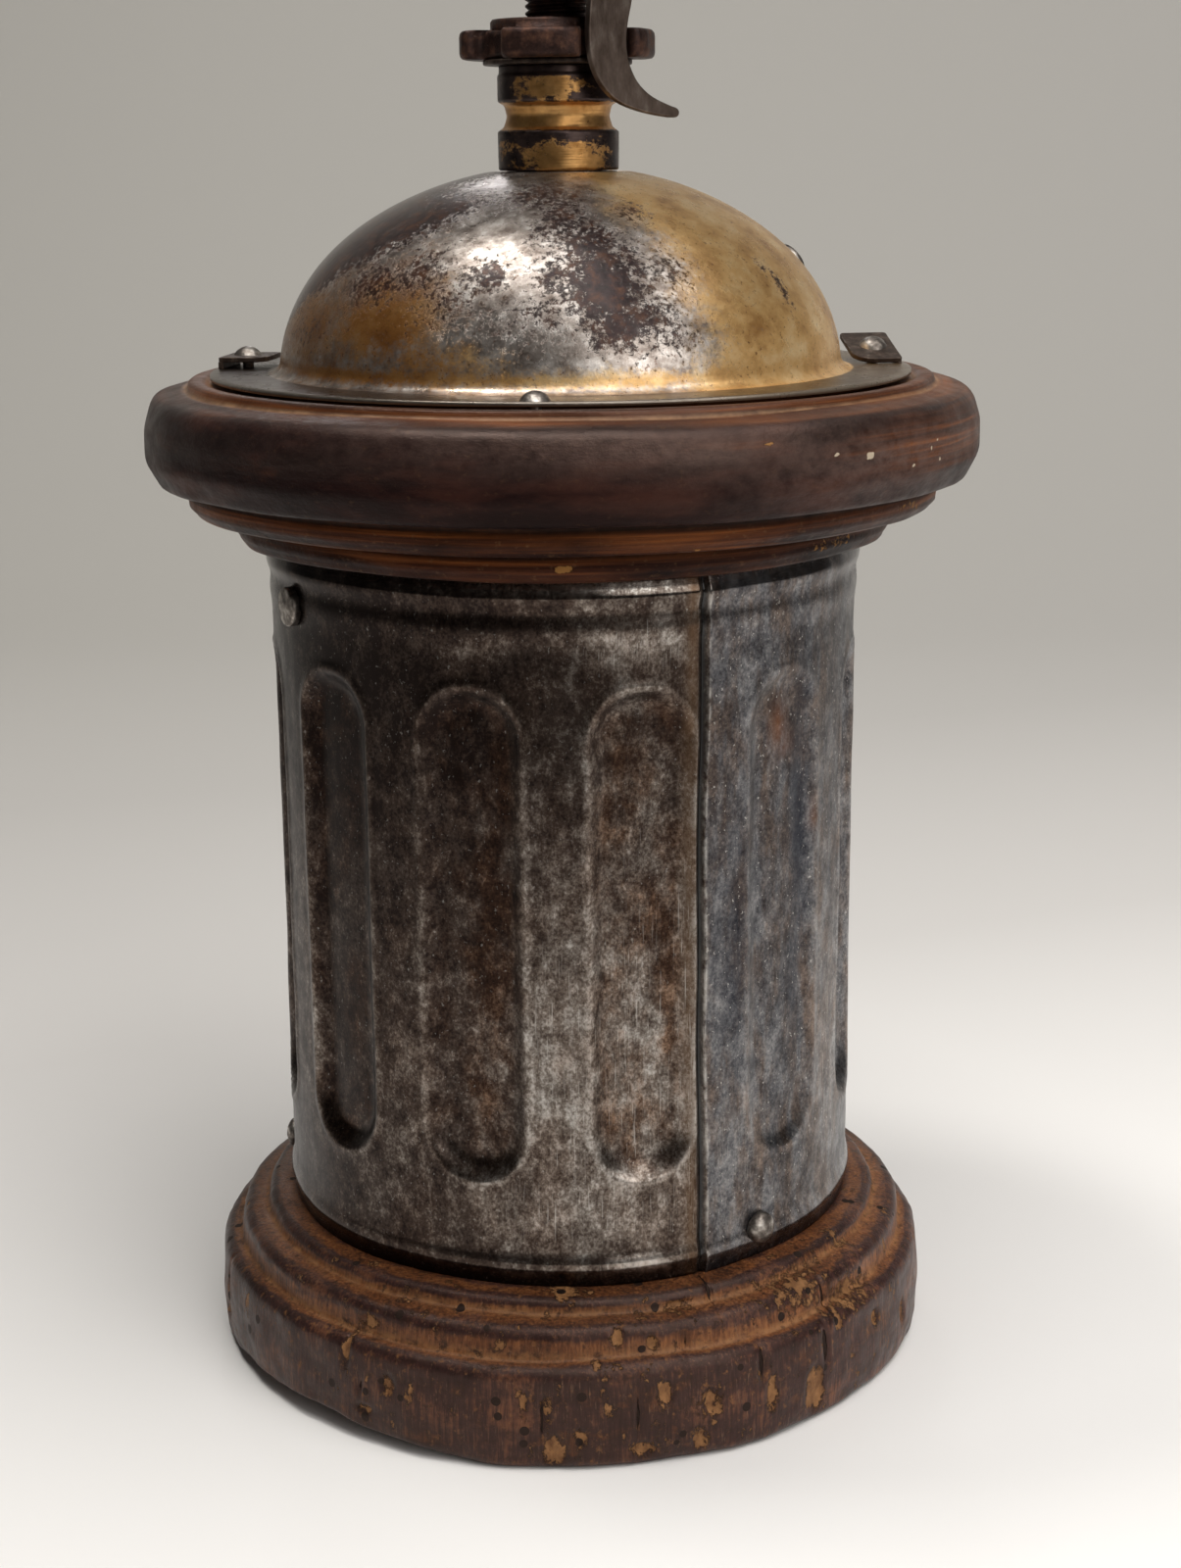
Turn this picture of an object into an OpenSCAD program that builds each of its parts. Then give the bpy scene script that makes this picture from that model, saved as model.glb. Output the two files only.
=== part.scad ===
// Hand coffee mill: a turned wooden base and cornice, a fluted tin body with a drawer,
// a tin hopper dome with a turning door, and a crank on a vertical grinding spindle.
// Millimetres. Z is up along the spindle and z = 0 is the underside of the base.
// Angles go round the axis from the -Y side, which shows the body's lap seam, towards +X.

/* [Base] */
// How far the base's top step stands out from the tin
base_top_out = 4.8; // [3:0.1:8]
// How far the middle step stands out from the top step
base_mid_out = 4.7; // [3:0.1:8]
// How far the plinth band stands out from the middle step
base_band_out = 3.9; // [3:0.1:8]
// Height of the plinth band
base_band_h = 16.6; // [10:0.2:24]
// Height of the middle step
base_mid_h = 5.4; // [4:0.2:9]
// Height of the top step
base_top_h = 2.6; // [2:0.1:6]
// Round on the upper edge of the plinth band
base_band_round = 1.6; // [0.6:0.1:2.5]
// Round on the foot of the plinth band
base_foot_round = 1.8; // [0.6:0.1:4]
// Round on the edges of the two upper steps
base_step_round = 0.9; // [0.4:0.1:1.4]
// Radius of the coves under the two upper steps
base_cove = 2.2; // [1:0.1:3]
// How far the base's spigot reaches up inside the tin
spigot_h = 12.4; // [10:0.2:18]

/* [Body] */
// Outside diameter of the tin tube
body_d = 96; // [90:0.5:104]
// Height of the tin tube
body_h = 113; // [106:0.5:130]
// Thickness of the tin sheet
tin_t = 0.6; // [0.5:0.05:0.8]
// How far the two stiffening ribs stand out
rib_out = 0.65; // [0.3:0.05:1]
// Height of each stiffening rib
rib_h = 8; // [5:0.5:9]
// Middle of the lower rib above the tin's lower edge
rib_low_up = 4.6; // [4.6:0.1:6]
// Middle of the upper rib below the tin's upper edge
rib_high_down = 7; // [4.6:0.1:10]
// Angle of the lap seam's free edge
seam_az = 26; // [20:0.5:30]
// Width of the lapped strip at the seam
seam_lap_w = 5; // [3:0.5:6]
// How far the lapped strip stands out
seam_lap_out = 0.4; // [0.2:0.05:0.6]

/* [Flutes] */
// Number of pressed flutes, which leave the drawer side plain
flute_n = 10; // [4:1:10]
// Angle from one flute to the next
flute_pitch = 31.6; // [28:0.1:31.6]
// Angle of the middle of the row of flutes
flute_mid_az = -1.9; // [-3:0.1:3]
// Width of a flute
flute_w = 16; // [10:0.5:18]
// Length of a flute with its round ends
flute_l = 78.4; // [50:0.2:79]
// Lower end of the flutes above the tin's lower edge
flute_up = 17.6; // [15:0.2:18]
// How deep the flutes are pressed in
flute_depth = 1.3; // [0.6:0.1:1.8]

/* [Nails and screws] */
// Diameter of the nail heads
nail_head_d = 4.6; // [3:0.1:6]
// Height of the nail heads
nail_head_h = 1.4; // [0.6:0.1:1.8]
// Diameter of the nail shanks
nail_d = 1.8; // [1.2:0.1:2.4]
// Length of the nail shanks
nail_l = 11; // [8:0.5:13]
// Diameter of the wood screws
screw_d = 3.2; // [2.4:0.1:4]
// Length of the wood screws under the head
screw_l = 14; // [10:0.5:16]
// Diameter of the screw heads
screw_head_d = 6; // [5:0.1:7]
// Height of the screw heads
screw_head_h = 2; // [1.2:0.1:2.6]
// Angles of the nails in the upper rib
upper_nail_az = [-61.6, 108, 192]; // [-180:0.1:360]
// Angles of the nails in the lower rib
lower_nail_az = [39, 142, 265]; // [-180:0.1:360]

/* [Cornice] */
// How far the lower step stands out from the tin
cornice_low_out = 5.3; // [3:0.1:8]
// How far the second step stands out from the lower step
cornice_mid_out = 7.6; // [4:0.1:10]
// How far the band stands out from the second step
cornice_band_out = 6.6; // [4:0.1:9]
// How far the top step is set back from the band
cornice_top_in = 7.6; // [4:0.1:9]
// Height of the lower step
cornice_low_h = 4.8; // [4:0.1:8]
// Height of the second step
cornice_mid_h = 4.8; // [4:0.1:8]
// Height of the band
cornice_band_h = 13.8; // [11:0.2:20]
// Height of the top step
cornice_top_h = 1.6; // [1.5:0.1:4]
// Height of the raised seat that lifts the dome's flange off the top step
flange_seat_h = 0.8; // [0.4:0.1:1.5]
// Round on the lower edges of the steps
cornice_step_round = 3; // [1:0.1:3.6]
// Round on the band's upper and lower edges
cornice_band_round = 4.2; // [2:0.1:5]
// Round on the top step's edge
cornice_top_round = 1.2; // [0.5:0.1:1.4]
// How far the cornice's plug reaches down inside the tin
plug_h = 14.6; // [13.5:0.2:15.4]

/* [Hopper dome] */
// How far the dome's flange is set back from the cornice's top step
flange_in = 3.6; // [2:0.1:6]
// Width of the flange around the dome
flange_w = 11.1; // [10.5:0.1:14]
// Thickness of the flange and of the dome's sheet
dome_t = 0.6; // [0.5:0.05:0.8]
// Radius of the hollow curve from the flange into the dome
dome_fillet = 2.2; // [1.4:0.1:3]
// Height that the dome's curve would reach at the axis, above the flange
dome_rise = 32; // [29:0.1:40]
// Diameter of the lip round the crown's sunk seat
crown_d = 22.8; // [22.4:0.2:26]
// Depth of the crown's sunk seat, which takes the door's eye
crown_drop = 0.78; // [0.7:0.02:0.86]
// Angle that the filler opening spans, in the middle of the back
filler_span = 116; // [90:1:118]
// Lower edge of the filler opening above the flange
filler_up = 7; // [5:0.2:9]
// Upper edge of the filler opening above the flange
filler_top = 22.5; // [18:0.2:24]

/* [Hopper door] */
// Gap between the dome and the door
door_gap = 0.35; // [0.3:0.05:0.5]
// Thickness of the door's sheet
door_t = 0.5; // [0.4:0.05:0.7]
// How far behind the middle the door's straight front edge lies
door_back = 12.5; // [12:0.1:14]
// Width of the strap from the door to its eye
door_strap_w = 14; // [10:0.5:16]
// Width of the door's flat rim on the flange
door_rim_w = 1; // [0.4:0.1:1.6]
// Diameter of the door's eye round the neck bush
door_eye_d = 18.6; // [17:0.1:19]
// Diameter of the door's knob
door_knob_d = 6.4; // [4:0.2:8]
// Height of the door's knob
door_knob_h = 3.4; // [2:0.1:5]
// Angle of the door's knob
door_knob_az = 117; // [115:1:130]
// Height of the door's knob above the flange
door_knob_up = 14; // [11:0.2:17]
// Angle of each door guide on the flange, to the left and to the right
guide_az = 97.5; // [92:0.5:98]
// Length of a guide along the flange
guide_l = 11.5; // [9:0.5:12]
// Thickness of a guide's sheet
guide_t = 0.8; // [0.6:0.05:1]
// How far the left guide is bent up towards the back, in degrees
guide_tilt_left = 0; // [0:0.5:10]
// How far the right guide, whose front edge is on the flange, is bent up towards the back, in degrees
guide_tilt_right = 16.5; // [14:0.5:18]

/* [Neck bush] */
// Diameter of the brass neck
neck_d = 19.2; // [18:0.1:22]
// Height of the brass neck
neck_h = 16; // [13:0.1:20]
// Width of the groove round the neck
neck_groove_w = 4.2; // [2:0.1:6]
// Depth of the groove round the neck
neck_groove_depth = 1.5; // [0.6:0.1:2]
// Height of the groove's middle above the neck's foot
neck_groove_up = 8.3; // [6:0.1:9]
// Diameter of the bush's spigot through the dome
bush_spigot_d = 13.8; // [13:0.1:14.4]
// How far the spigot reaches below the neck
bush_spigot_h = 8; // [7:0.2:12]
// Width across the flats of the bush's nut
bush_nut_af = 20; // [17:0.5:24]
// Height of the bush's nut
bush_nut_h = 4; // [3:0.2:5]

/* [Grinding adjuster] */
// Diameter of the thrust washer under the adjusting nut
thrust_d = 23.6; // [20:0.2:27]
// Thickness of the thrust washer
thrust_t = 0.8; // [0.6:0.1:1.6]
// Diameter over the adjusting nut's lobes
star_d = 30.8; // [29.8:0.2:36]
// Number of lobes, with a notch between each two
star_lobes = 4; // [3:1:5]
// Thickness of the lobes
star_t = 4.4; // [3:0.1:6]
// Diameter inside the notches
star_core_d = 21.6; // [20:0.2:22.4]
// Diameter of the nut's boss
star_boss_d = 21; // [16:0.2:21.4]
// Height of the nut's boss
star_boss_h = 1.6; // [1:0.1:2]
// Width of the catch that sits in a notch
catch_w = 8.2; // [6:0.1:8.6]
// Thickness of the catch
catch_t = 1.4; // [1:0.1:1.6]
// Radius from the axis to the middle of the catch
catch_r = 14; // [13.4:0.1:14.2]
// How far the catch's tail reaches sideways
catch_tail = 12; // [9:0.2:13]
// Angle of the catch and the crank
crank_az = 34; // [20:1:50]
// Diameter of the catch's pin
catch_pin_d = 2.4; // [2:0.1:2.8]

/* [Spindle and burrs] */
// Diameter of the spindle over its thread
spindle_d = 10; // [9.4:0.1:10.6]
// Pitch of the spindle's thread
thread_pitch = 1.1; // [1:0.1:2]
// Depth of the spindle's thread
thread_depth = 0.6; // [0.3:0.05:0.7]
// Height of the thread that shows between the adjusting nut and the crank
thread_show = 5.5; // [4:0.1:8]
// Diameter of the spindle's tail in the lower bush
tail_d = 8; // [7:0.1:9]
// Side of the square that drives the crank
square_w = 7; // [6:0.1:7]
// Diameter of the stud above the square
stud_d = 6; // [5:0.1:6.4]
// Diameter of the ring burr's body
ring_d = 54; // [52:0.5:58]
// Height of the ring burr above its flange
ring_h = 18; // [16:0.5:19]
// Diameter of the ring burr's flange
ring_flange_d = 67; // [66:0.5:68]
// Thickness of the ring burr's flange
ring_flange_t = 4; // [3:0.2:5]
// Diameter of the ring burr's throat
throat_d = 38.4; // [36:0.2:42]
// Diameter of the ring burr's mouth
mouth_d = 49; // [44:0.5:50]
// Gap between the cone burr and the ring burr's throat
burr_gap = 0.9; // [0.8:0.05:1.4]
// Number of teeth on each burr
burr_teeth = 14; // [8:1:18]
// Depth of the grooves between the teeth
burr_groove = 1.6; // [0.8:0.1:2]

/* [Lower bridge] */
// Width of the bridge's iron strap
bridge_w = 16; // [12:0.5:18]
// Thickness of the strap
bridge_t = 3.5; // [2.5:0.1:4]
// Depth of the bridge below the cornice's plug
bridge_drop = 26; // [24:0.5:30]
// Outside diameter of the lower bush
lower_bush_d = 14; // [12:0.5:15]
// Height of the lower bush
lower_bush_h = 8; // [6:0.5:10]

/* [Crank] */
// Radius from the spindle to the knob
crank_r = 112; // [90:1:130]
// Thickness of the arm
arm_t = 5.5; // [4:0.1:7]
// Width of the arm at the hub
arm_root_w = 16; // [15:0.5:18]
// Width of the arm at the knob
arm_tip_w = 10.5; // [10:0.5:13]
// How far the arm rises towards the knob
arm_rise = 12; // [6:0.5:20]
// Diameter of the crank's hub
hub_d = 20; // [18:0.5:20.6]
// Height of the crank's hub
hub_h = 10; // [9.5:0.5:14]
// Diameter of the washer on the hub
crank_washer_d = 15; // [12.5:0.5:18]
// Thickness of the washer on the hub
crank_washer_t = 1.2; // [0.8:0.1:2]
// Width across the flats of the crank's nut
crank_nut_af = 10; // [9:0.5:12]
// Height of the crank's nut
crank_nut_h = 5.5; // [4:0.5:7]
// Diameter of the knob's pin
knob_pin_d = 6; // [5:0.1:7]
// Diameter of the knob
knob_d = 28; // [22:0.5:34]
// Height of the knob
knob_h = 40; // [32:0.5:50]
// Diameter of the knob's neck
knob_neck_d = 15; // [12:0.5:18]
// Thickness of the washer under the knob
knob_washer_t = 1.2; // [0.8:0.1:2]

/* [Drawer] */
// Width of the drawer's tray
drawer_w = 38; // [30:0.5:38]
// Height of the drawer's tray
drawer_h = 26; // [18:0.5:30]
// Thickness of the tray's sheet
drawer_t = 0.8; // [0.6:0.1:1.2]
// Thickness of the drawer's front
front_t = 0.8; // [0.6:0.1:1.2]
// How far the front laps over the edge of the drawer's window
front_lap = 1.5; // [1:0.1:2]
// Diameter of the drawer's knob
drawer_knob_d = 13; // [10:0.5:16]
// Length of the drawer's knob
drawer_knob_l = 12; // [9:0.5:16]
// Width of a drawer runner
runner_w = 3; // [2:0.2:4]
// Height of a drawer runner
runner_h = 4; // [3:0.2:6]

/* [Clearances] */
// Clearance of wood and iron pieces inside the tin and of nails in their holes
fit = 0.05; // [0.02:0.01:0.1]
// Running clearance of a shaft or pin in its hole, on the radius
run = 0.06; // [0.03:0.01:0.09]
// Clearance between faces that slide or swing past each other
slip = 0.3; // [0.25:0.05:0.4]

/* [Hidden] */
$fn = 64;

// Small overlap that makes one solid of pieces joined end to end
bite = 0.2;
// Radius that reaches past the whole body
far_r = 200;

// Radii of the body and its turned wood
body_r = body_d / 2;
tin_in_r = body_r - tin_t;
flute_in_r = tin_in_r - flute_depth;
base_top_r = body_r + base_top_out;
base_mid_r = base_top_r + base_mid_out;
base_band_r = base_mid_r + base_band_out;
cornice_low_r = body_r + cornice_low_out;
cornice_mid_r = cornice_low_r + cornice_mid_out;
cornice_band_r = cornice_mid_r + cornice_band_out;
cornice_top_r = cornice_band_r - cornice_top_in;
flange_r = cornice_top_r - flange_in;
dome_r = flange_r - flange_w;
crown_r = crown_d / 2;

// Heights from the floor up to the dome
base_mid_z = base_band_h;
base_top_z = base_mid_z + base_mid_h;
body_z = base_top_z + base_top_h;
spigot_z = body_z + spigot_h;
cornice_z = body_z + body_h;
plug_z = cornice_z - plug_h;
cornice_mid_z = cornice_z + cornice_low_h;
cornice_band_z = cornice_mid_z + cornice_mid_h;
cornice_top_z = cornice_band_z + cornice_band_h;
cornice_end_z = cornice_top_z + cornice_top_h;
flange_z = cornice_end_z + flange_seat_h;
flange_top_z = flange_z + dome_t;
// The dome's curve starts where the hollow curve ends square to it
fillet_t = asin(dome_fillet / dome_rise);
fillet_lean = atan2(sin(fillet_t) / dome_rise, cos(fillet_t) / dome_r);
dome_z = flange_top_z - dome_fillet * sin(fillet_lean);
crown_z = dome_z + dome_rise * sqrt(1 - pow(crown_r / dome_r, 2));
// A slope of 45 degrees leads from the lip down to the crown's seat
seat_z = crown_z - crown_drop;
seat_r = crown_r - crown_drop;

// Heights of the neck, the adjuster and the crank
neck_z = seat_z + door_gap + door_t + slip / 2;
neck_top_z = neck_z + neck_h;
bush_bottom_z = neck_z - bush_spigot_h;
star_z = neck_top_z + thrust_t + run;
boss_z = star_z + star_t;
boss_top_z = boss_z + star_boss_h;
shoulder_z = boss_top_z + thread_show;
hub_top_z = shoulder_z + hub_h;
square_top_z = hub_top_z - slip;
crank_washer_top_z = hub_top_z + crank_washer_t;
crank_nut_top_z = crank_washer_top_z + crank_nut_h;
stud_show = 1.5;
stud_top_z = crank_nut_top_z + stud_show;
arm_set = 1;
arm_z = hub_top_z - arm_t / 2 - arm_set;
arm_tip_z = arm_z + arm_rise;
arm_tip_top_z = arm_tip_z + arm_t / 2;
knob_z = arm_tip_top_z + knob_washer_t + slip;
catch_eye_wall = 1.1;
catch_eye_r = catch_pin_d / 2 + catch_eye_wall;
catch_pin_z = arm_z - arm_t / 2 - catch_eye_r - slip;

// Radii of the spindle's bearings
spindle_r = spindle_d / 2;
bore_r = spindle_r + run;
tail_r = tail_d / 2;

// Grinding heights: the ring burr's flange hangs under the cornice's plug
ring_bottom_z = plug_z - ring_flange_t;
ring_top_z = plug_z + ring_h;
exit_h = 8;
exit_out = 2.7;
throat_z = ring_bottom_z + exit_h;
ring_r = ring_d / 2;
throat_r = throat_d / 2;
ring_exit_r = throat_r + exit_out;
mouth_r = mouth_d / 2;
ring_slant = 10;
ring_screw_n = 3;
ring_screw_r = ring_flange_d / 2 - screw_head_d / 2 - slip;
cone_show = 1;
cone_bottom_z = ring_bottom_z - cone_show;
cone_foot_r = ring_exit_r - burr_gap + slip;
cone_waist_r = throat_r - burr_gap;
cone_top_wall = 4.5;
cone_top_r = spindle_r + cone_top_wall;
cone_slant = -14;
cone_pin_r = 1.25;
cone_pin_up = 4;
cone_pin_z = cone_bottom_z + cone_pin_up;
funnel_ledge = 2;
funnel_r = dome_r - dome_t - funnel_ledge;

// The lower bridge and its feet under the plug, outside the ring burr's flange
bridge_ring_gap = 1;
bridge_tin_gap = 1.4;
bridge_z = plug_z - bridge_drop;
bridge_leg_r = ring_flange_d / 2 + bridge_ring_gap;
bridge_foot_r = tin_in_r - bridge_tin_gap;
bridge_screw_r = bridge_leg_r + bridge_t + (bridge_foot_r - bridge_leg_r - bridge_t) / 2;
lower_bush_drop = 1.5;
lower_bush_collar = 2;
lower_bush_z = bridge_z - lower_bush_drop;
tail_show = 3.5;
tail_bottom_z = lower_bush_z - tail_show;

// The drawer runs on the base's spigot between two runners
drawer_z = spigot_z + slip;
drawer_top_z = drawer_z + drawer_h;
window_gap = 0.5;
window_w = drawer_w + 2 * window_gap;
window_top_z = drawer_top_z + window_gap;
front_in_r = body_r + slip;
front_r = front_in_r + front_t;
drawer_end_gap = 2;
drawer_back_y = -(sqrt(pow(flute_in_r, 2) - pow(drawer_w / 2, 2)) - drawer_end_gap);
drawer_knob_z = drawer_z + drawer_h / 2;
drawer_stud_r = 1.6;
drawer_stud_l = 5;
drawer_nut_af = 6;
drawer_nut_h = 2.4;
runner_x = drawer_w / 2 + slip;
runner_l = 2 * (sqrt(pow(flute_in_r, 2) - pow(runner_x + runner_w, 2)) - drawer_end_gap);

// The adjusting nut's notch takes the catch with room on each side
notch_gap = slip + fit;
notch_w = catch_w + 2 * notch_gap;
catch_in_r = catch_r - catch_t / 2;
catch_neck_z = star_z;
ear_w = 2.2;
catch_pin_show = 0.4;

// The door's skin lies outside the dome's skin
door_out = door_gap + door_t;

// The door's knob stands square on the door's curve
door_knob_t = asin(door_knob_up / dome_rise);
door_knob_stud_r = 1.2;
door_knob_seat = 0.1;

// The guides stand on the flange over the door's rim
door_rim_r = dome_r + dome_fillet + door_rim_w;
guide_low_z = flange_top_z + door_out + slip;
guide_lap = 1;
guide_edge = 0.8;
guide_in_r = door_rim_r - guide_lap;
guide_out_r = flange_r - guide_edge;
guide_nail_r = (guide_in_r + guide_out_r + guide_t) / 2;
flange_nail_edge = 1;
flange_nail_r = flange_r - nail_head_d / 2 - flange_nail_edge;
flange_nail_az = [-4, 176];
function guide_tilt(side) = side < 0 ? guide_tilt_left : guide_tilt_right;
function guide_foot_z(side) = side < 0 ? guide_low_z : flange_top_z;
function guide_mid_z(side) =
  guide_foot_z(side) + guide_l / 2 * tan(guide_tilt(side)) + guide_t / cos(guide_tilt(side));

// Turns a piece that is drawn on the -Y side to the angle az
module around(az) {
  rotate([0, 0, az])
    children();
}

// Turns an outline of sideways distance and height into a plate between two radii
module upright(r_in, r_out) {
  translate([0, -r_in, 0])
    rotate([90, 0, 0])
      linear_extrude(r_out - r_in)
        children();
}

// A ring between two radii and two heights
module ring(r_in, r_out, z_low, z_high) {
  translate([0, 0, z_low])
    difference() {
      cylinder(h = z_high - z_low, r = r_out);
      translate([0, 0, -1])
        cylinder(h = z_high - z_low + 2, r = r_in);
    }
}

// A wedge of all space from angle az over a span of less than 180 degrees
module wedge(az, span, z_low, z_high) {
  around(az)
    translate([0, 0, z_low])
      linear_extrude(z_high - z_low)
        polygon([
          [0, 0],
          for (i = [0:4]) far_r * [sin(span * i / 4), -cos(span * i / 4)]
        ]);
}

// Half section of a turned disc with a round on its upper and lower edge
module slab(r, z_low, z_high, round_high, round_low) {
  translate([0, z_low + round_low])
    square([r, z_high - z_low - round_high - round_low]);
  translate([0, z_low])
    square([r - max(round_high, round_low), z_high - z_low]);
  if (round_high > 0)
    translate([r - round_high, z_high - round_high])
      circle(round_high);
  if (round_low > 0)
    translate([r - round_low, z_low + round_low])
      circle(round_low);
}

// Half section of a cove that fills the corner at radius r and height z
module cove(r, z, size) {
  difference() {
    translate([r - size, z - size])
      square(2 * size);
    translate([r + size, z + size])
      circle(size);
  }
}

// A hexagonal prism with a round hole
module hex_nut(af, h, hole_r) {
  difference() {
    cylinder(h = h, r = af / sqrt(3), $fn = 6);
    translate([0, 0, -1])
      cylinder(h = h + 2, r = hole_r);
  }
}

// A nail along +Z with its head's seat at z = 0 and its shank below
module nail() {
  head_r = nail_head_d / 2;
  dome_ball_r = (head_r * head_r + nail_head_h * nail_head_h) / (2 * nail_head_h);
  translate([0, 0, -nail_l])
    cylinder(h = nail_l + bite, d = nail_d);
  intersection() {
    translate([0, 0, nail_head_h - dome_ball_r])
      sphere(dome_ball_r);
    cylinder(h = nail_head_h + 1, r = head_r + 1);
  }
}

// A wood screw along -Z with its head's seat at z = 0 and its shank above
module screw() {
  translate([0, 0, -bite])
    cylinder(h = screw_l + bite, d = screw_d);
  translate([0, 0, -screw_head_h])
    difference() {
      cylinder(h = screw_head_h, d = screw_head_d);
      translate([-screw_head_d, -screw_d / 8, -1])
        cube([2 * screw_head_d, screw_d / 4, 1 + screw_head_h / 2]);
    }
}

// Places a piece drawn along +Z so that it points outwards at an angle, a radius and a height
module radial(az, r, z) {
  around(az)
    translate([0, -r, z])
      rotate([90, 0, 0])
        children();
}

// Where the body nails sit, in the middle of the two ribs
upper_nail_z = cornice_z - rib_high_down;
lower_nail_z = body_z + rib_low_up;
rib_seat_r = body_r + rib_out;

module at_body_nails() {
  for (az = upper_nail_az)
    radial(az, rib_seat_r, upper_nail_z)
      children();
  for (az = lower_nail_az)
    radial(az, rib_seat_r, lower_nail_z)
      children();
}

module at_flange_nails() {
  for (az = flange_nail_az)
    around(az)
      translate([0, -flange_nail_r, flange_top_z])
        children();
}

module at_guide_nails() {
  for (side = [-1, 1])
    around(side * guide_az)
      translate([0, -guide_nail_r, guide_mid_z(side)])
        rotate([0, -side * guide_tilt(side), 0])
          children();
}

module at_ring_screws() {
  for (i = [0:ring_screw_n - 1])
    around(180 + 360 / ring_screw_n * i)
      translate([0, -ring_screw_r, ring_bottom_z])
        children();
}

module at_bridge_screws() {
  for (side = [-1, 1])
    translate([side * bridge_screw_r, 0, plug_z - bridge_t])
      children();
}

// A hole for a nail's shank, with a little room round it
module nail_hole() {
  translate([0, 0, -nail_l - fit])
    cylinder(h = nail_l + 2, r = nail_d / 2 + fit);
}

// A hole for a screw's shank, with a little room round it
module screw_hole() {
  translate([0, 0, -1])
    cylinder(h = screw_l + 1 + fit, r = screw_d / 2 + fit);
}

// Turned wooden base with three stepped mouldings and a spigot inside the tin
module base_plinth() {
  mid_cove = min(base_cove, base_band_out - base_band_round, base_mid_h - base_step_round);
  top_cove = min(base_cove, base_mid_out - base_step_round, base_top_h - base_step_round);
  color("#3a241c")
    difference() {
      union() {
        rotate_extrude() {
          slab(base_band_r, 0, base_mid_z, base_band_round, base_foot_round);
          slab(base_mid_r, base_mid_z - bite, base_top_z, base_step_round, 0);
          slab(base_top_r, base_top_z - bite, body_z, base_step_round, 0);
          cove(base_mid_r, base_mid_z, mid_cove);
          cove(base_top_r, base_top_z, top_cove);
        }
        translate([0, 0, body_z - bite])
          cylinder(h = spigot_h + bite, r = tin_in_r - fit);
      }
      at_body_nails()
        nail_hole();
    }
}

// Outline of a stiffening rib that bulges out of the tin
module rib_outline(z) {
  bulge_r = (rib_h * rib_h / 4 + rib_out * rib_out) / (2 * rib_out);
  intersection() {
    translate([body_r + rib_out - bulge_r, z])
      circle(bulge_r);
    translate([body_r - tin_t / 2, z - rib_h / 2])
      square([rib_out + tin_t, rib_h]);
  }
}

// Outline of a flute with round ends, drawn in or out by grow
module flute_outline(grow) {
  end_r = flute_w / 2 + grow;
  low = body_z + flute_up + flute_w / 2;
  high = body_z + flute_up + flute_l - flute_w / 2;
  translate([-end_r, low])
    square([2 * end_r, high - low]);
  for (z = [low, high])
    translate([0, z])
      circle(end_r);
}

module each_flute() {
  for (i = [0:flute_n - 1])
    around(flute_mid_az + flute_pitch * (i - (flute_n - 1) / 2))
      children();
}

// Tin tube with pressed flutes, two ribs, a lap seam and the drawer's window
module body_shell() {
  color("#56514d")
    difference() {
      union() {
        rotate_extrude() {
          translate([tin_in_r, body_z])
            square([tin_t, body_h]);
          rib_outline(lower_nail_z);
          rib_outline(upper_nail_z);
        }
        intersection() {
          wedge(seam_az, seam_lap_w / body_r * 180 / PI, body_z, cornice_z);
          ring(body_r - tin_t / 2, body_r + seam_lap_out, body_z, cornice_z);
        }
        intersection() {
          each_flute()
            upright(flute_in_r / 2, body_r)
              flute_outline(0);
          ring(flute_in_r, body_r - tin_t / 2, body_z, cornice_z);
        }
      }
      intersection() {
        each_flute()
          upright(flute_in_r / 2, body_r + 2)
            flute_outline(-tin_t);
        ring(flute_in_r + tin_t, body_r + 1, body_z, cornice_z);
      }
      translate([-window_w / 2, 0, spigot_z])
        cube([window_w, far_r, window_top_z - spigot_z]);
      at_body_nails()
        nail_hole();
    }
}

module body_nails() {
  color("#3b3733")
    at_body_nails()
      nail();
}

// Turned wooden cornice: a stepped ring with the hopper's funnel and the ring burr's seat
module cornice_ring() {
  low_round = min(cornice_step_round, cornice_low_out, cornice_low_h);
  mid_round = min(cornice_step_round, cornice_mid_out, cornice_mid_h);
  color("#2f1f1c")
    difference() {
      union() {
        rotate_extrude() {
          slab(cornice_low_r, cornice_z, cornice_mid_z + bite, 0, low_round);
          slab(cornice_mid_r, cornice_mid_z, cornice_band_z + bite, 0, mid_round);
          slab(cornice_band_r, cornice_band_z, cornice_top_z, cornice_band_round, cornice_band_round);
          slab(cornice_top_r, cornice_top_z - bite, cornice_end_z, cornice_top_round, 0);
          translate([0, cornice_end_z - bite])
            square([flange_r - flange_in, flange_seat_h + bite]);
        }
        translate([0, 0, plug_z])
          cylinder(h = plug_h + bite, r = tin_in_r - fit);
      }
      translate([0, 0, plug_z - 1])
        cylinder(h = ring_h + 1, r = ring_r + fit);
      translate([0, 0, ring_top_z - bite])
        cylinder(h = bite + 1, r = mouth_r);
      translate([0, 0, ring_top_z])
        cylinder(h = flange_z - ring_top_z, r1 = mouth_r, r2 = funnel_r);
      translate([0, 0, flange_z - bite])
        cylinder(h = 2 * bite, r = funnel_r);
      at_body_nails()
        nail_hole();
      at_flange_nails()
        nail_hole();
      at_guide_nails()
        nail_hole();
      at_ring_screws()
        screw_hole();
      at_bridge_screws()
        screw_hole();
    }
}

// A point of the dome's curve at parameter t, moved out along its normal
function dome_normal(t) =
  let (n = [cos(t) / dome_r, sin(t) / dome_rise])
  n / norm(n);
function dome_point(t, out) =
  [dome_r * cos(t), dome_z + dome_rise * sin(t)] + out * dome_normal(t);

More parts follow.
